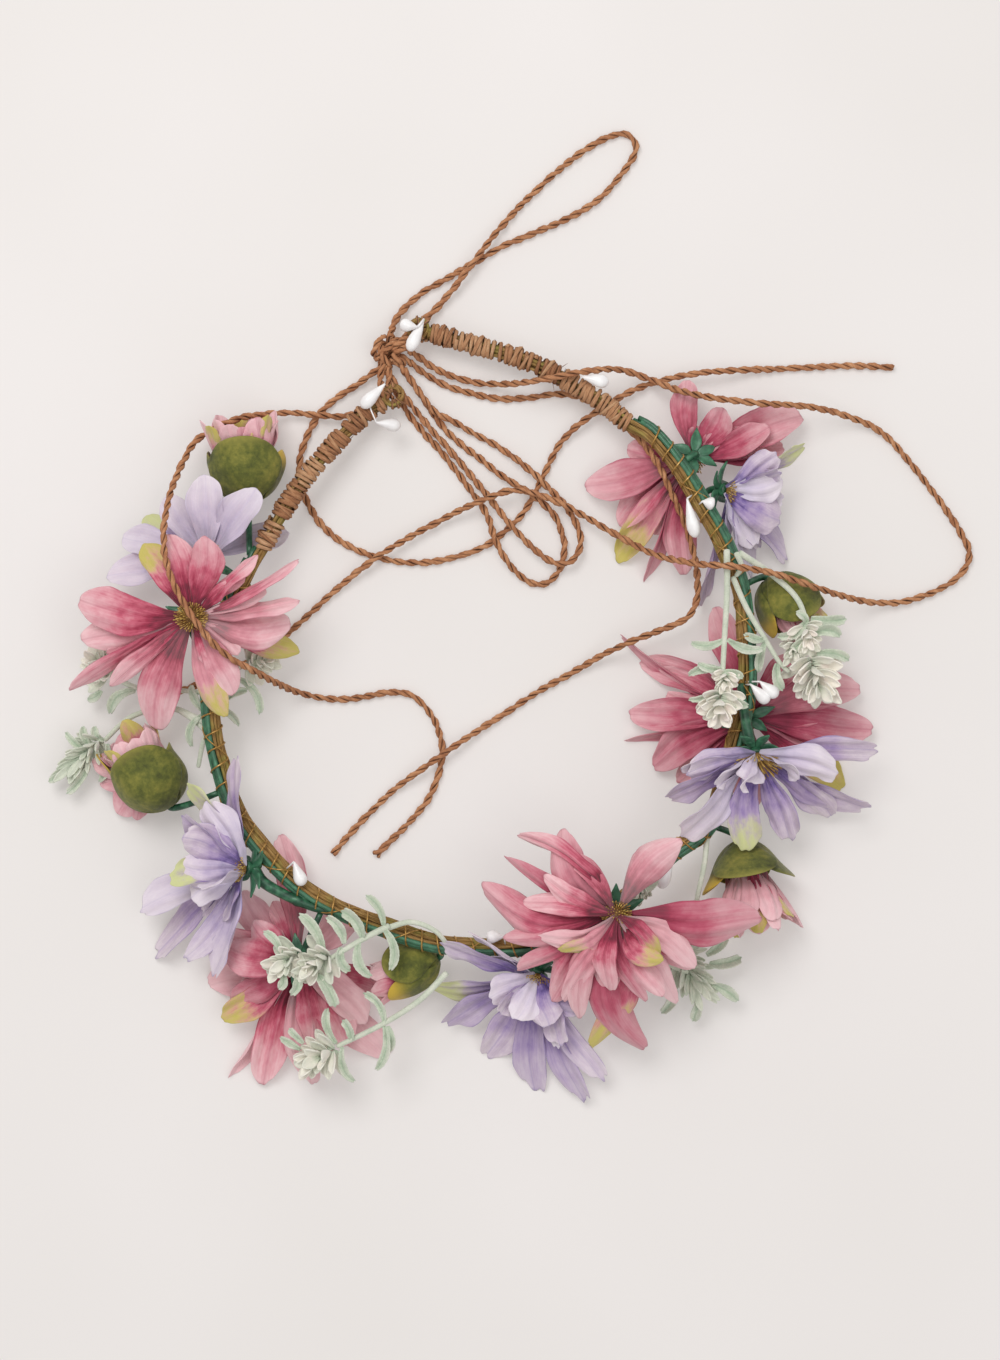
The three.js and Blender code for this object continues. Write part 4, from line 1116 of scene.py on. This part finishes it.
def raffia(name, start, end, seed):
    """Uneven turns of narrow paper raffia, in short windings that let the vine show between them."""
    build = Build()
    rng = random.Random(seed)
    at = start
    number = 0
    while at < end - 3:
        run = min(end, at + rng.uniform(8, 15))
        radius, pitch = rng.uniform(2.75, 3.0), rng.uniform(1.55, 1.8)
        winding(build, at, run, radius, pitch, 0.76, seed * 40 + number)
        back_from, back_to = run - rng.uniform(1, 3), at + rng.uniform(1, 3)
        winding(build, back_from, back_to, 3.2, rng.uniform(3.2, 4.2), 0.7, seed * 70 + number)
        at = run + rng.uniform(0.3, 1.7)
        number += 1
    for _ in range(RAGGED_FIBRES):
        where = rng.uniform(start, end)
        place = part_of(band, where, where + 1, 0.5)[0]
        away = unit(vec((rng.uniform(-1, 1), rng.uniform(-1, 1), 0.4)))
        root = place + away * 2.9
        tip = root + unit(away + vec((rng.uniform(-1, 1), rng.uniform(-1, 1), 0.2))) * rng.uniform(1.5, 3.5)
        sweep(build, np.linspace(root, tip, 4), np.linspace(0.16, 0.05, 4), 5, 0.4)
    middle, towards = eyelet(start < 1)
    beside = np.cross(UP, towards)
    for turn in (-1.95, -1.45, -0.95, 0.95, 1.45, 1.95):
        out = -towards * math.cos(turn) + beside * math.sin(turn)
        tube = middle + out * EYELET_R
        angle = np.linspace(0, TURN * 0.96, 22) + turn
        slip = np.linspace(-0.4, 0.4, 22)[:, None] * np.cross(out, UP)
        loop = tube + slip + 1.45 * (np.cos(angle)[:, None] * out + np.sin(angle)[:, None] * UP)
        sweep(build, loop, 0.52, 8, rng.random(), tint=0.6, ridges=0.1, flat=0.8, twist=0.4)
    return build.made(name, WRAP)


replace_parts(band_strands(), "band_wire")
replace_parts(bound_stems(), "stem_strand")
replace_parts(binding_turns(), "binding_wire")
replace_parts(raffia("right_raffia", 0.5, RIGHT_WRAP, 3), "right_wrap")
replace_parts(raffia("left_raffia", band_length - LEFT_WRAP, band_length - 0.5, 4), "left_wrap")


# ---- Flowers ----
MOVING = ("flower_4", "flower_5", "sprig_3", "sprig_4")
PETAL_ROWS = 16
PETAL_COLUMNS = 15
BLADE_COLUMNS = 5
HUB_R = 2.6
CLOTH_WIDER = 1.06  # how much broader a cloth petal is than its row in FLOWERS says
PETAL_THICK = 0.28
SEPAL_THICK = 0.5
STAR_THICK = 0.7
SPRIG_THICK = 0.55
LOW_SPRIG_THICK = 0.5
MAIN_SEPAL_PROUD = 1.3  # how far the rim of the broadest sepal stands out
LOWEST_CLOTH = 0.35  # middle of a petal or sepal that lies on the floor
LOWEST_LEAF = 0.4  # the same for a leaf of a sprig
STAMEN_COUNT = 130


def body_of(name):
    return name + "_body" if name in MOVING else "root"


def petal_ends(style, across, phase, slant):
    """The share of the length that each column reaches: rounded, slanted and toothed."""
    rounding = 1 - np.sqrt(np.maximum(0, 1 - 0.97 * across**2))
    ends = 1 - style["round"] * rounding + slant * across
    teeth = 0.5 + np.abs(np.sin(across * 3 + phase[4]))
    return ends + style["teeth"] * np.sin(across * 8 + phase[0]) * teeth


def petal_half(style, width, t, u, phase, fray):
    """Half the width at t: narrow at the base, wavy, and frayed along the edges."""
    widest = style["widest"]
    grown = math.sin(min(t / widest, 1) * math.pi / 2) ** 1.3
    narrowed = 1 - 0.2 * max(0, (t - widest) / (1 - widest)) ** 2
    half = width / 2 * (style["waist"] + (1 - style["waist"]) * grown) * narrowed
    half *= 1 + 0.05 * math.sin(t * 13 + phase[3] + 1.5 * u)
    half *= 1 + style["torn"] * 1.8 * fray * u * u * (t > 0.35)
    return half


def petal_lift(style, width, half, t, u, phase, cup, curl):
    """How far a point stands off the flat petal: cup, middle crease, pleats, ruffle and curled tip."""
    body = math.sin(math.pi * min(t, 1)) ** 0.7
    lift = cup * half * (u * u - 0.35)
    lift -= 0.5 * math.exp(-((u / 0.15) ** 2)) * body
    lift += style["fold"] * math.cos(u * 8.5 + phase[1] + t * 1.5) * body * width / 10
    lift += 0.085 * width * abs(u) ** 3 * math.sin(t * 12 + phase[2] + 2.2 * u)
    lift += curl * max(0, t - 0.55) ** 2 * 6
    return lift


def petal(build, base, tip, rise, width, facing, roll, seed, tint, style, rng, cupped=None):
    """One pressed petal, bent from its base to its tip and rolled over by some degrees."""
    control = (base + tip) / 2 + UP * rise
    reach = np.linalg.norm(tip - base)
    phase = [rng.uniform(0, TURN) for _ in range(5)]
    cup = style["cup"] * rng.uniform(0.5, 1.4) if cupped is None else cupped
    curl = rng.uniform(-1.0, 0.8) * width * 0.13
    lean = rng.uniform(-1, 1) * style["sway"] * reach
    slant = rng.uniform(-0.06, 0.06)
    across = np.linspace(-1, 1, PETAL_COLUMNS)
    points = np.zeros((PETAL_ROWS, PETAL_COLUMNS, 3))
    looks = np.zeros((PETAL_ROWS, PETAL_COLUMNS, 4))
    torn = np.array([rng.uniform(-1, 1) for _ in range(PETAL_COLUMNS)])
    ends = petal_ends(style, across, phase, slant) + style["torn"] * torn
    frayed = [(rng.uniform(-1, 1), rng.uniform(-1, 1)) for _ in range(PETAL_ROWS)]
    for r in range(PETAL_ROWS):
        share = (r / (PETAL_ROWS - 1)) ** 0.9
        for c, u in enumerate(across):
            t = min(share * ends[c], 1.05)
            spot = bezier(base, control, tip, t)
            tangent = heading(base, control, tip, t, 0.02)
            normal = square_to(facing, tangent)
            side = np.cross(tangent, normal)
            turned = math.radians(roll) * min(1, t * 2.5)
            side, normal = (
                side * math.cos(turned) + normal * math.sin(turned),
                normal * math.cos(turned) - side * math.sin(turned),
            )
            half = petal_half(style, width, t, u, phase, frayed[r][c > PETAL_COLUMNS // 2])
            lift = petal_lift(style, width, half, t, u, phase, cup, curl)
            sway = lean * math.sin(math.pi * min(t, 1)) + 0.025 * width * math.sin(t * 8 + phase[3])
            points[r, c] = spot + side * (u * half + sway) + normal * lift
            looks[r, c] = (t, u / 2 + 0.5, seed, tint)
    points[..., 2] = np.maximum(points[..., 2], LOWEST_CLOTH)
    build.grid(points, looks)


# Flowers seen from beneath; their petals are painted with shade.
UNDERSIDES = ("flower_1", "flower_3")
# Further short petals that fold over the hub, as the petals of FLOWERS.
OVER_PETALS = {
    "flower_5": [
        (-147, 22, 39, 8, 15, 30, 1), (-96, 25, 36, 9, 16, -20), (-47, 19, 39, 7, 14, -30, 1),
        (152, 27, 40, 8, 9, 15), (-33, 31, 31, 10, 12, 10, 3), (-122, 33, 28, 9, 17, 25),
        (-70, 30, 33, 8, 13, -25, 2), (172, 31, 35, 8, 12, -18), (-165, 27, 38, 8, 13, 16, 3),
        (131, 30, 40, 7, 8, -12), (-108, 37, 21, 9, 18, 10), (-56, 36, 24, 8, 15, 18, 3),
    ],
    "flower_2": [
        (10, 19, 19, 12, 3, 0, 3), (-28, 21, 15, 13, 3), (-62, 20, 12, 12, 2, 0, 3),
        (38, 20, 22, 10, 2),
    ],
    "flower_4": [
        (-112, 9, 35, 10, 4, 0, 3), (-168, 24, 33, 11, 3, 10), (-12, 27, 33, 13, 3, -8, 3),
    ],
    "flower_6": [
        (-160, 17, 25, 11, 3, 0, 3), (-118, 15, 24, 11, 3, 0, 3), (-75, 16, 23, 12, 3),
        (-38, 19, 22, 11, 3),
    ],
    "flower_7": [
        (167, 25, 15, 15, 9, -25), (143, 21, 13, 11, 8, 20), (-78, 31, 7, 12, 7, 25),
        (-42, 30, 8, 13, 7, -15, 3), (-150, 27, 8, 10, 6, 10, 2),
    ],
    "flower_8": [
        (150, 22, 31, 13, 3), (118, 25, 32, 12, 3, 0, 3), (178, 20, 29, 12, 3),
        (-150, 20, 26, 11, 3, 0, 3),
    ],
}

# cup is how far the edges turn up, or down where it is negative.
STYLE_PARTS = ("round", "teeth", "widest", "waist", "fold", "cup", "torn", "sway")
STYLES = {
    "arched": (0.36, 0.006, 0.6, 0.13, 0.5, -0.85, 0.016, 0.2),
    "smooth": (0.3, 0.004, 0.66, 0.2, 0.25, 0.35, 0.008, 0.05),
    "broad": (0.3, 0.005, 0.66, 0.17, 0.34, -0.3, 0.012, 0.08),
    "pink": (0.32, 0.006, 0.64, 0.2, 0.42, -0.42, 0.014, 0.09),
    "purple": (0.22, 0.019, 0.7, 0.24, 0.37, 0.22, 0.02, 0.09),
}
STYLES = {name: dict(zip(STYLE_PARTS, values)) for name, values in STYLES.items()}
STYLE_OF = {"flower_5": "arched", "flower_9": "broad", "flower_10": "smooth"}
# How many of a flower's inner petals are made, as a share.
USUAL_INNER = 0.75
INNER_SHARE = {
    "flower_4": 0.0, "flower_5": 0.5, "flower_6": 0.4, "flower_7": 0.81, "flower_9": 0.3, "flower_10": 0.0,
}
EXTRA_RISE = {"flower_5": 6}
USUAL_TINT = {"flower_7": PALE, "flower_10": PALE}


def full_row(row):
    """A petal's seven values, with the usual roll and tint where its row is short."""
    return (*row, *(0, PLAIN)[len(row) - 5 :])


def petals(name, flower, body):
    rng = random.Random(name)
    facing = unit(vec(flower["face"]))
    hub = vec(flower["hub"])
    style = STYLES[STYLE_OF.get(name, flower["colour"])]
    build = Build()
    for number, row in enumerate(flower["petals"]):
        degrees, reach, height, width, rise, roll, tint = full_row(row)
        turn = math.radians(degrees)
        tip = reached(hub, turn, reach, height)
        flat = square_to(tip - hub, facing)
        base = hub + flat * HUB_R
        seed = rng.random()
        # Petals of flowers seen from beneath, and every other petal of flower_5, get painted shade.
        in_shade = name in UNDERSIDES or (name == "flower_5" and number % 2)
        if tint == PLAIN:
            tint = PAINTED_SHADE if in_shade else USUAL_TINT.get(name, PLAIN)
        if name == "flower_7" and number % 2 and tint == PALE:
            tint = PLAIN
        lifted = rise + EXTRA_RISE.get(name, 0)
        petal(build, base, tip, lifted, width * CLOTH_WIDER, facing, roll, seed, tint, style, rng)
    inner_petals(build, flower, facing, hub, style, rng, INNER_SHARE.get(name, USUAL_INNER))
    for row in OVER_PETALS.get(name, []):
        degrees, reach, height, width, rise, roll, tint = full_row(row)
        turn = math.radians(degrees)
        out = vec((math.cos(turn), math.sin(turn), 0))
        tip = reached(hub, turn, reach, height)
        base = hub + UP * HUB_R + out * 0.5 - facing * 0.8
        lean = unit(facing + UP * 1.2)
        petal(build, base, tip, rise, width, lean, roll, rng.random(), tint, style, rng, -0.25)
    piece = thicken(build.made(name + "_cloth", PETAL[flower["colour"]], body), PETAL_THICK)
    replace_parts(piece, name + "_petals")


def inner_petals(build, flower, facing, hub, style, rng, kept):
    """Shorter petals of the inner layer, between the long ones and a little proud of them."""
    rows = flower["petals"]
    for first, second in zip(rows, rows[1:]):
        if abs(second[0] - first[0]) > 50 or rng.random() > kept:
            continue
        degrees = (first[0] + second[0]) / 2 + rng.uniform(-4, 4)
        turn = math.radians(degrees)
        share = rng.uniform(0.5, 0.78)
        reach = share * (first[1] + second[1]) / 2
        height = hub[2] + share * ((first[2] + second[2]) / 2 - hub[2])
        height += rng.uniform(0.8, 2.8) * facing[2]
        tip = reached(hub, turn, reach, height)
        flat = square_to(tip - hub, facing)
        base = hub + flat * 2.2 + facing * 0.5
        width = rng.uniform(0.6, 0.85) * (first[3] + second[3]) / 2
        # Unless lit, inner petals get painted shade at random; lit ones are plain or pale.
        lit = facing[2] > -0.5 or kept > 0.8
        tint = rng.choice((PLAIN, PLAIN, PALE) if lit else (PLAIN, PAINTED_SHADE))
        petal(build, base, tip, 1.6, width, facing, rng.uniform(-16, 16), rng.random(), tint, style, rng)


# How far the fibres spread along the two cross axes of the flower, and how long they are.
STAMEN_SPREAD = {"flower_4": (3.7, 0.9, 1.9), "flower_9": (0.95, 1.9, 1.0)}


def stamens(name, flower, body):
    """A dome of fine fibres with pollen heads."""
    rng = random.Random(name + "stamens")
    axis, side, normal = axes_of(flower["face"])
    wide, high, long = STAMEN_SPREAD.get(name, (1.15, 1.15, 1.0))
    front = vec(flower["hub"]) + axis * 0.5
    build = Build()
    lathe(build, front, axis, [(0.1, -0.4), (3.0, -0.2), (3.1, 0.6), (1.8, 1.4), (0.1, 1.6)], 14)
    for number in range(STAMEN_COUNT):
        turn = number * GOLDEN_ANGLE
        out = math.sqrt((number + 0.5) / STAMEN_COUNT)
        radial = spoke(turn, side, normal)
        foot = front + 2.9 * out * radial
        outward = wide * math.cos(turn) * side + high * math.sin(turn) * normal
        lean = unit(axis + 0.8 * out * outward)
        tall = rng.uniform(2.6, 4.2) * (1.05 - 0.2 * out) * long
        bow = np.linspace(0, 1, 4)[:, None] ** 2 * radial * 0.5
        line = np.linspace(foot, foot + lean * tall, 4) + bow
        sweep(build, line, [0.12, 0.11, 0.13, 0.21], 5, rng.random(), tint=rng.random())
    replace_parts(build.made(name + "_fibres", STAMEN, body), name + "_stamens")


def blade(build, foot, tip, bend, facing, rows, half_at, fold, seed, tint, lowest):
    """A small leaf along a bent line, its half width given at each t, its edges folded up."""
    control = (foot + tip) / 2 + bend
    across = np.linspace(-1, 1, BLADE_COLUMNS)
    points = np.zeros((rows, BLADE_COLUMNS, 3))
    looks = np.zeros((rows, BLADE_COLUMNS, 4))
    for r in range(rows):
        t = r / (rows - 1)
        spot = bezier(foot, control, tip, t)
        tangent = heading(foot, control, tip, t, 0.03)
        normal = square_to(facing, tangent)
        side = np.cross(tangent, normal)
        half = half_at(t)
        for c, u in enumerate(across):
            points[r, c] = spot + side * u * half + normal * fold * half * (u * u)
            looks[r, c] = (t, u / 2 + 0.5, seed, tint)
    points[..., 2] = np.maximum(points[..., 2], lowest)
    build.grid(points, looks)


def leaf(build, foot, tip, bend, width, facing, seed, tint, fold):
    """A small pointed leaf, folded along its middle."""

    def half_at(t):
        return width / 2 * (0.25 + 0.75 * math.sin(math.pi * min(t * 1.05, 1) ** 0.8)) * (1 - 0.75 * t**4)

    blade(build, foot, tip, bend, facing, 7, half_at, fold, seed, tint, -math.inf)


def nearest_on(line, point):
    return line[np.argmin(np.linalg.norm(line - point, axis=1))]


bundle_middle = strand_line(bound_from + 6, bound_to - 6, 0.95, 0.95, 0, 1)


def stem_from(build, neck, facing):
    """A wire stem from behind a flower head, bending in to the bundle."""
    nearest = nearest_on(bundle_middle, neck)
    away = unit(neck - nearest)
    knee = neck - facing * 2.2
    meet = nearest + away * 3.4
    line = np.array([bezier(neck, knee, meet, t) for t in np.linspace(0, 1, 12)])
    sweep(build, line, np.linspace(1.25, 1.05, 12), 9, 0.3)


def calyx(name, flower, body):
    rng = random.Random(name + "calyx")
    axis, side, normal = axes_of(flower["face"])
    back = vec(flower["hub"]) - axis * 0.8
    cup = Build()
    lathe(cup, back, -axis, [(0.1, -0.3), (2.7, -0.2), (2.6, 0.6), (1.9, 2.0), (1.3, 3.4), (0.1, 3.6)], 14)
    stem_from(cup, back - axis * 3.2, axis)
    cup_piece = cup.made(name + "_cup", STEM, body)
    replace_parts(cup_piece, name + "_calyx")
    star = Build()
    for number in range(6):
        turn = number * TURN / 6 + rng.uniform(-0.2, 0.2)
        out = spoke(turn, side, normal)
        foot = back - axis * 1.9 + out * 1.2
        tip = back + out * rng.uniform(8.2, 10.6) - axis * rng.uniform(0.6, 2.4)
        leaf(star, foot, tip, -axis * 1.2, rng.uniform(3.6, 4.5), -axis, rng.random(), 0.5, 0.35)
    thicken(star.made(name + "_star", STEM, body), STAR_THICK)


SLEEVES = {
    "flower_4": [(95.8, -10.5, 25), (94.6, -4, 25.6), (93.4, 3, 24.6), (93, 9, 22.6)],
    "flower_8": [
        (-69.6, -52.2, 21), (-67, -56.4, 21.6), (-60, -60.8, 22), (-51, -64.8, 21.6), (-44, -67, 20.6),
    ],
}


def sleeve(name, route):
    """The thick plastic stem that runs on from a calyx and lies along the bound strand."""
    line = smooth_line(route, 0.6)
    share = np.linspace(0, 1, len(line))
    collar = 1 + 0.22 * np.exp(-(((share - 0.62) / 0.035) ** 2))
    build = Build()
    sweep(build, line, np.interp(share, (0, 1), (2.0, 1.35)) * collar, 12, 0.7, ridges=0.03)
    build.made(name + "_sleeve", STEM)


for name, flower in FLOWERS.items():
    for build_piece in (petals, calyx, stamens):
        build_piece(name, flower, body_of(name))
for name, route in SLEEVES.items():
    sleeve(name, route)


# ---- Buds ----
def sepal(build, bud, turn, spread, tall, seed, tint, proud):
    """A broad rounded sepal that follows the egg shape of the bud."""
    axis, side, normal = axes_of(bud["face"])
    half = bud["length"] / 2
    rows, columns = 14, 13
    points = np.zeros((rows, columns, 3))
    looks = np.zeros((rows, columns, 4))
    for r in range(rows):
        s = r / (rows - 1)
        for c in range(columns):
            u = 2 * c / (columns - 1) - 1
            t = s * (1 - 0.5 * (1 - math.sqrt(max(0, 1 - 0.95 * u * u))))
            level = -0.98 + t * (tall + 0.98)
            radius = bud["radius"] * math.sqrt(max(0.02, 1 - min(level, 0.3) ** 2))
            radius *= 1 + bud.get("open", 0) * t * t
            radius *= 1 + 0.035 * math.sin(5 * u + seed * 9 + 3 * t) + 0.05 * math.sin(t * 7 + seed * 5) * t
            angle = turn + u * spread * math.sin(math.pi * min(0.5, t * 0.7 + 0.16))
            out = spoke(angle, side, normal)
            points[r, c] = vec(bud["at"]) + axis * level * half + out * (radius + 0.45 * seed + proud * t)
            looks[r, c] = (t, u / 2 + 0.5, seed, tint)
    points[..., 2] = np.maximum(points[..., 2], LOWEST_CLOTH)
    build.grid(points, looks)


def bud_piece(name, bud):
    """A bud with one broad sepal up, two at its sides, and petals showing past their rims."""
    rng = random.Random(name)
    axis, side, normal = axes_of(bud["face"])
    half = bud["length"] / 2
    middle = vec(bud["at"])
    top = math.atan2(UP @ normal, UP @ side)
    cups = Build()
    for number, (turn, spread, tall) in enumerate(bud["sepals"]):
        main = number == 0
        seed = rng.random() * 0.6 + 0.4 * main
        sepal(cups, bud, top + turn, spread, tall, seed, number == 1, MAIN_SEPAL_PROUD * main)
    sepals = thicken(cups.made(name + "_cloth", OLIVE), SEPAL_THICK)
    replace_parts(sepals, name + "_sepals")
    stalk = Build()
    stem_from(stalk, middle - axis * half * 0.96, axis)
    stalk.made(name + "_stem", STEM)
    levels = (-0.97, -0.88, -0.7, -0.45, -0.2)
    walls = [(0.95, level) for level in levels] + [(0.86, level) for level in reversed(levels[1:])]
    profile = [(share * bud["radius"] * math.sqrt(1 - level**2), level * half) for share, level in walls]
    cup = Build()
    lathe(cup, middle, axis, profile, 20)
    cup.made(name + "_cup", OLIVE)
    inside = Build()
    for number in range(bud["count"]):
        turn = number * TURN / bud["count"] + rng.uniform(-0.2, 0.2)
        out = spoke(turn, side, normal)
        flare = rng.uniform(*bud["flare"])
        base = middle - axis * half * 0.3 + out * bud["radius"] * 0.35
        reach = rng.uniform(*bud.get("reach", (0.88, 1.12)))
        tip = middle + axis * half * reach + out * bud["radius"] * flare
        width = bud["radius"] * rng.uniform(0.75, 0.95)
        tint = GREEN_TIP if number % 5 == 1 else rng.choice((PLAIN, PALE))
        shift = out * bud["radius"] * (0.5 if flare < 0.8 else 0.2)
        base = base + shift * 0.6
        petal(inside, base, tip, 0.3, width, -out, 0, rng.random(), tint, STYLES["pink"], rng, 0.35)
    for tip, width, tint in bud.get("loose", []):
        foot = middle - UP * 3 + axis * 1.5
        tip = vec(tip)
        petal(inside, foot, tip, 2.5, width, UP, 0, rng.random(), tint, STYLES["smooth"], rng, -0.3)
    petals_piece = thicken(inside.made(name + "_petal_cloth", PETAL["pink"]), PETAL_THICK)
    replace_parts(petals_piece, name + "_petals")


for name, bud in BUDS.items():
    bud_piece(name, {**bud, **BUD_LOOKS[name]})


# ---- Sprigs ----
def spoon(build, foot, tip, bend, width, facing, seed, tint, fold):
    """A thick rounded leaf, widest near its end."""

    def half_at(t):
        half = width / 2 * (0.26 + 0.74 * math.sin(min(1, t / 0.68) * math.pi / 2) ** 1.6)
        return half * math.sqrt(max(0.02, 1 - (max(0, t - 0.6) / 0.4) ** 2.2))

    blade(build, foot, tip, bend, facing, 8, half_at, fold, seed, tint, LOWEST_LEAF)


def rosette(build, middle, direction, radius, length, pale, rng):
    """Spoon-shaped leaves in a loose spiral up a tip, the lower ones spread and the last ones closed."""
    axis, side, normal = axes_of(direction)
    slim = pale < 0.6
    count = round((12 + 2 * radius) * (1.5 if slim else 1))
    for number in range(count):
        share = number / (count - 1)
        turn = number * GOLDEN_ANGLE + rng.uniform(-0.4, 0.4)
        out = spoke(turn, side, normal)
        foot = middle + axis * length * (0.5 * share - 0.42) + out * 0.4
        spread = radius * (1.12 - 0.72 * share) * rng.uniform(0.72, 1.12)
        tip = foot + out * spread + axis * length * (0.12 + 0.34 * share) * rng.uniform(0.65, 1.1)
        size = np.linalg.norm(tip - foot)
        width = min(size * 0.56, 4.6) * rng.uniform(0.85, 1.12) * (0.6 if slim else 1)
        facing = unit(axis * 0.55 + UP * 0.85 - out * 0.2)
        bend = facing * -0.14 * size + vec([rng.uniform(-0.5, 0.5) for _ in range(3)])
        spoon(build, foot, tip, bend, width, facing, rng.random(), pale * rng.uniform(0.5, 1), 0.5)


def strap_leaf(build, foot, tip, bow, width, seed):
    """A soft narrow leaf, folded along its middle, toothed at its edges and hooked back at its end."""
    flat = tip - foot
    beside = unit(np.cross(UP, flat))
    hook = beside * bow
    control = foot + flat * 0.55 + UP * 1.4 + hook * 1.7
    rows, columns = 19, 7
    across = np.linspace(-1, 1, columns)
    points = np.zeros((rows, columns, 3))
    looks = np.zeros((rows, columns, 4))
    for r in range(rows):
        tooth = 0.13 if r % 2 else -0.1
        for c, u in enumerate(across):
            t = r / (rows - 1) * (1 - 0.1 * u * u + 0.06 * math.cos(12 * u + seed * 5))
            spot = bezier(foot, control, tip, t)
            tangent = heading(foot, control, tip, t, 0.03)
            side = unit(np.cross(tangent, UP))
            half = width / 2 * (0.34 + 0.52 * math.sin(min(1, t / 0.5) * math.pi / 2)) * (1 - 0.3 * t**4)
            half *= 1 + (tooth * abs(u) ** 3 if t > 0.2 else 0) + 0.08 * math.sin(t * 9 + seed * 4)
            lift = 1.05 * half * abs(u) ** 1.4 + 0.3 * abs(u) * math.sin(t * 11 + seed * 8 + u)
            twist = 0.5 * u * half * math.sin(2.6 * t + seed * 6)
            points[r, c] = spot + side * u * half + UP * (lift + twist)
            looks[r, c] = (t * 0.9, u / 2 + 0.5, seed, 0.3 * abs(u))
    points[..., 2] = np.maximum(points[..., 2], LOWEST_LEAF)
    build.grid(points, looks)


def stalk_line(build, points, thick=0.95, thin=0.65):
    line = smooth_line(points, 1.2)
    sweep(build, line, np.linspace(thick, thin, len(line)), 8, 0.3, tint=0.3)
    return line


def sprig(name, parts, body):
    rng = random.Random(name)
    build = Build()
    line = stalk_line(build, parts["stalk"])
    direction = line[-1] - line[-5]
    for place, radius, length in parts["clusters"]:
        rosette(build, vec(place), direction, radius * LEAF_SPREAD.get(name, 1), length, LEAF_PALE[name], rng)
    for foot, tip, bow, width in SPRIG_LEAVES[name]:
        strap_leaf(build, vec(foot), vec(tip), bow, width, rng.random())
    piece = thicken(build.made(name + "_flocked", SPRIG, body), SPRIG_THICK)
    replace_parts(piece, name)


for name, parts in SPRIGS.items():
    sprig(name, parts, body_of(name))


def more_foliage():
    """Small sprigs that lie under the flowers, and the loose grey stalks between them."""
    rng = random.Random(17)
    build = Build()
    for place, direction, radius, length, pale in LOW_ROSETTES:
        rosette(build, vec(place), vec(direction), radius, length, pale, rng)
    for foot, tip, bow, width in LOW_LEAVES:
        strap_leaf(build, vec(foot), vec(tip), bow, width, rng.random())
    for points in LOOSE_STALKS:
        stalk_line(build, points, 0.85, 0.6)
    thicken(build.made("low_foliage", SPRIG), LOW_SPRIG_THICK)


more_foliage()


# ---- Berries ----
# (radius, share of the length)
BERRY_OUTLINE = [
    (0.35, 0), (0.5, 0.08), (0.95, 0.2), (1.55, 0.38), (2.15, 0.6),
    (2.25, 0.75), (1.85, 0.89), (1.05, 0.97), (0.1, 1),
]


def berry(build, start, tip, seed):
    start, tip = vec(start), vec(tip)
    long = np.linalg.norm(tip - start)
    lathe(build, start, tip - start, [(r, k * long) for r, k in BERRY_OUTLINE], 16, seed, 0.025)


WIRE_BEND = {"berries_right": (0.4, 0.3, 0.3), "berries_left": (-3.6, 0.4, -1.6)}


def berry_pair(name, pair):
    build = Build()
    for number, (start, tip) in enumerate(pair):
        berry(build, start, tip, 0.3 * number)
    (first, _), (second, _) = pair
    wire = smooth_line([first, (vec(first) + vec(second)) / 2 + vec(WIRE_BEND[name]), second], 1)
    sweep(build, wire, 0.26, 7, 0.2)
    return build.made(name + "_wax", BERRY)


for name, pair in BERRIES.items():
    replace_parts(berry_pair(name, pair), name)


def loose_berries():
    """Single berries along the band, each on a short white wire from the bundle."""
    build = Build()
    for number, (start, tip) in enumerate(LOOSE_BERRIES):
        berry(build, start, tip, 0.21 * number)
        root = nearest_on(band, vec(start))
        wire = smooth_line([vec(start), (vec(start) + root) / 2 + (0, 0, 0.8), root], 1)
        sweep(build, wire, 0.3, 6, 0.2)
    build.made("loose_berries", BERRY)


loose_berries()


# ---- Floor, light ----
FLOOR_HALF = 2.5
FLOOR_GLOW = 0.36
SKY = (1.0, 0.985, 0.975, 1)
SKY_STRENGTH = 0.51
# (name, place, size, power)
LAMPS = [("key", (-0.35, 0.6, 1.3), 0.7, 9.6), ("fill", (0.5, -0.25, 1.5), 1.2, 5.0)]


def pale_floor():
    mesh = bpy.data.meshes.new("floor")
    corners = [(x * FLOOR_HALF, y * FLOOR_HALF, 0) for x, y in ((-1, -1), (1, -1), (1, 1), (-1, 1))]
    mesh.from_pydata(corners, [], [(0, 1, 2, 3)])
    floor = bpy.data.objects.new("floor", mesh)
    bpy.context.collection.objects.link(floor)
    n = Nodes("floor_paper", 0.9)
    tone = n.noise(n.place, 6, 2)
    paper = n.ramp(tone, (0.3, "cbc7c4"), (0.7, "cfcbc9"))
    # Painted light: the floor glows, which lightens the shadows cast on it.
    n.link(paper, n.shader.inputs["Emission Color"])
    n.shader.inputs["Emission Strength"].default_value = FLOOR_GLOW
    mesh.materials.append(n.done(paper))


def sky():
    world = bpy.data.worlds.new("studio")
    world.use_nodes = True
    background = world.node_tree.nodes["Background"].inputs
    background["Color"].default_value = SKY
    background["Strength"].default_value = SKY_STRENGTH
    bpy.context.scene.world = world


def lamp(name, place, size, power):
    """A square lamp that faces the middle of the floor."""
    light = bpy.data.objects.new(name, bpy.data.lights.new(name, "AREA"))
    light.data.size = size
    light.data.energy = power
    light.location = place
    direction = -vec(place)
    light.rotation_euler = (
        math.atan2(math.hypot(direction[0], direction[1]), -direction[2]),
        0,
        math.atan2(direction[0], -direction[1]) + math.pi,
    )
    bpy.context.collection.objects.link(light)


pale_floor()
sky()
for row in LAMPS:
    lamp(*row)
bpy.context.scene.view_settings.view_transform = "Standard"
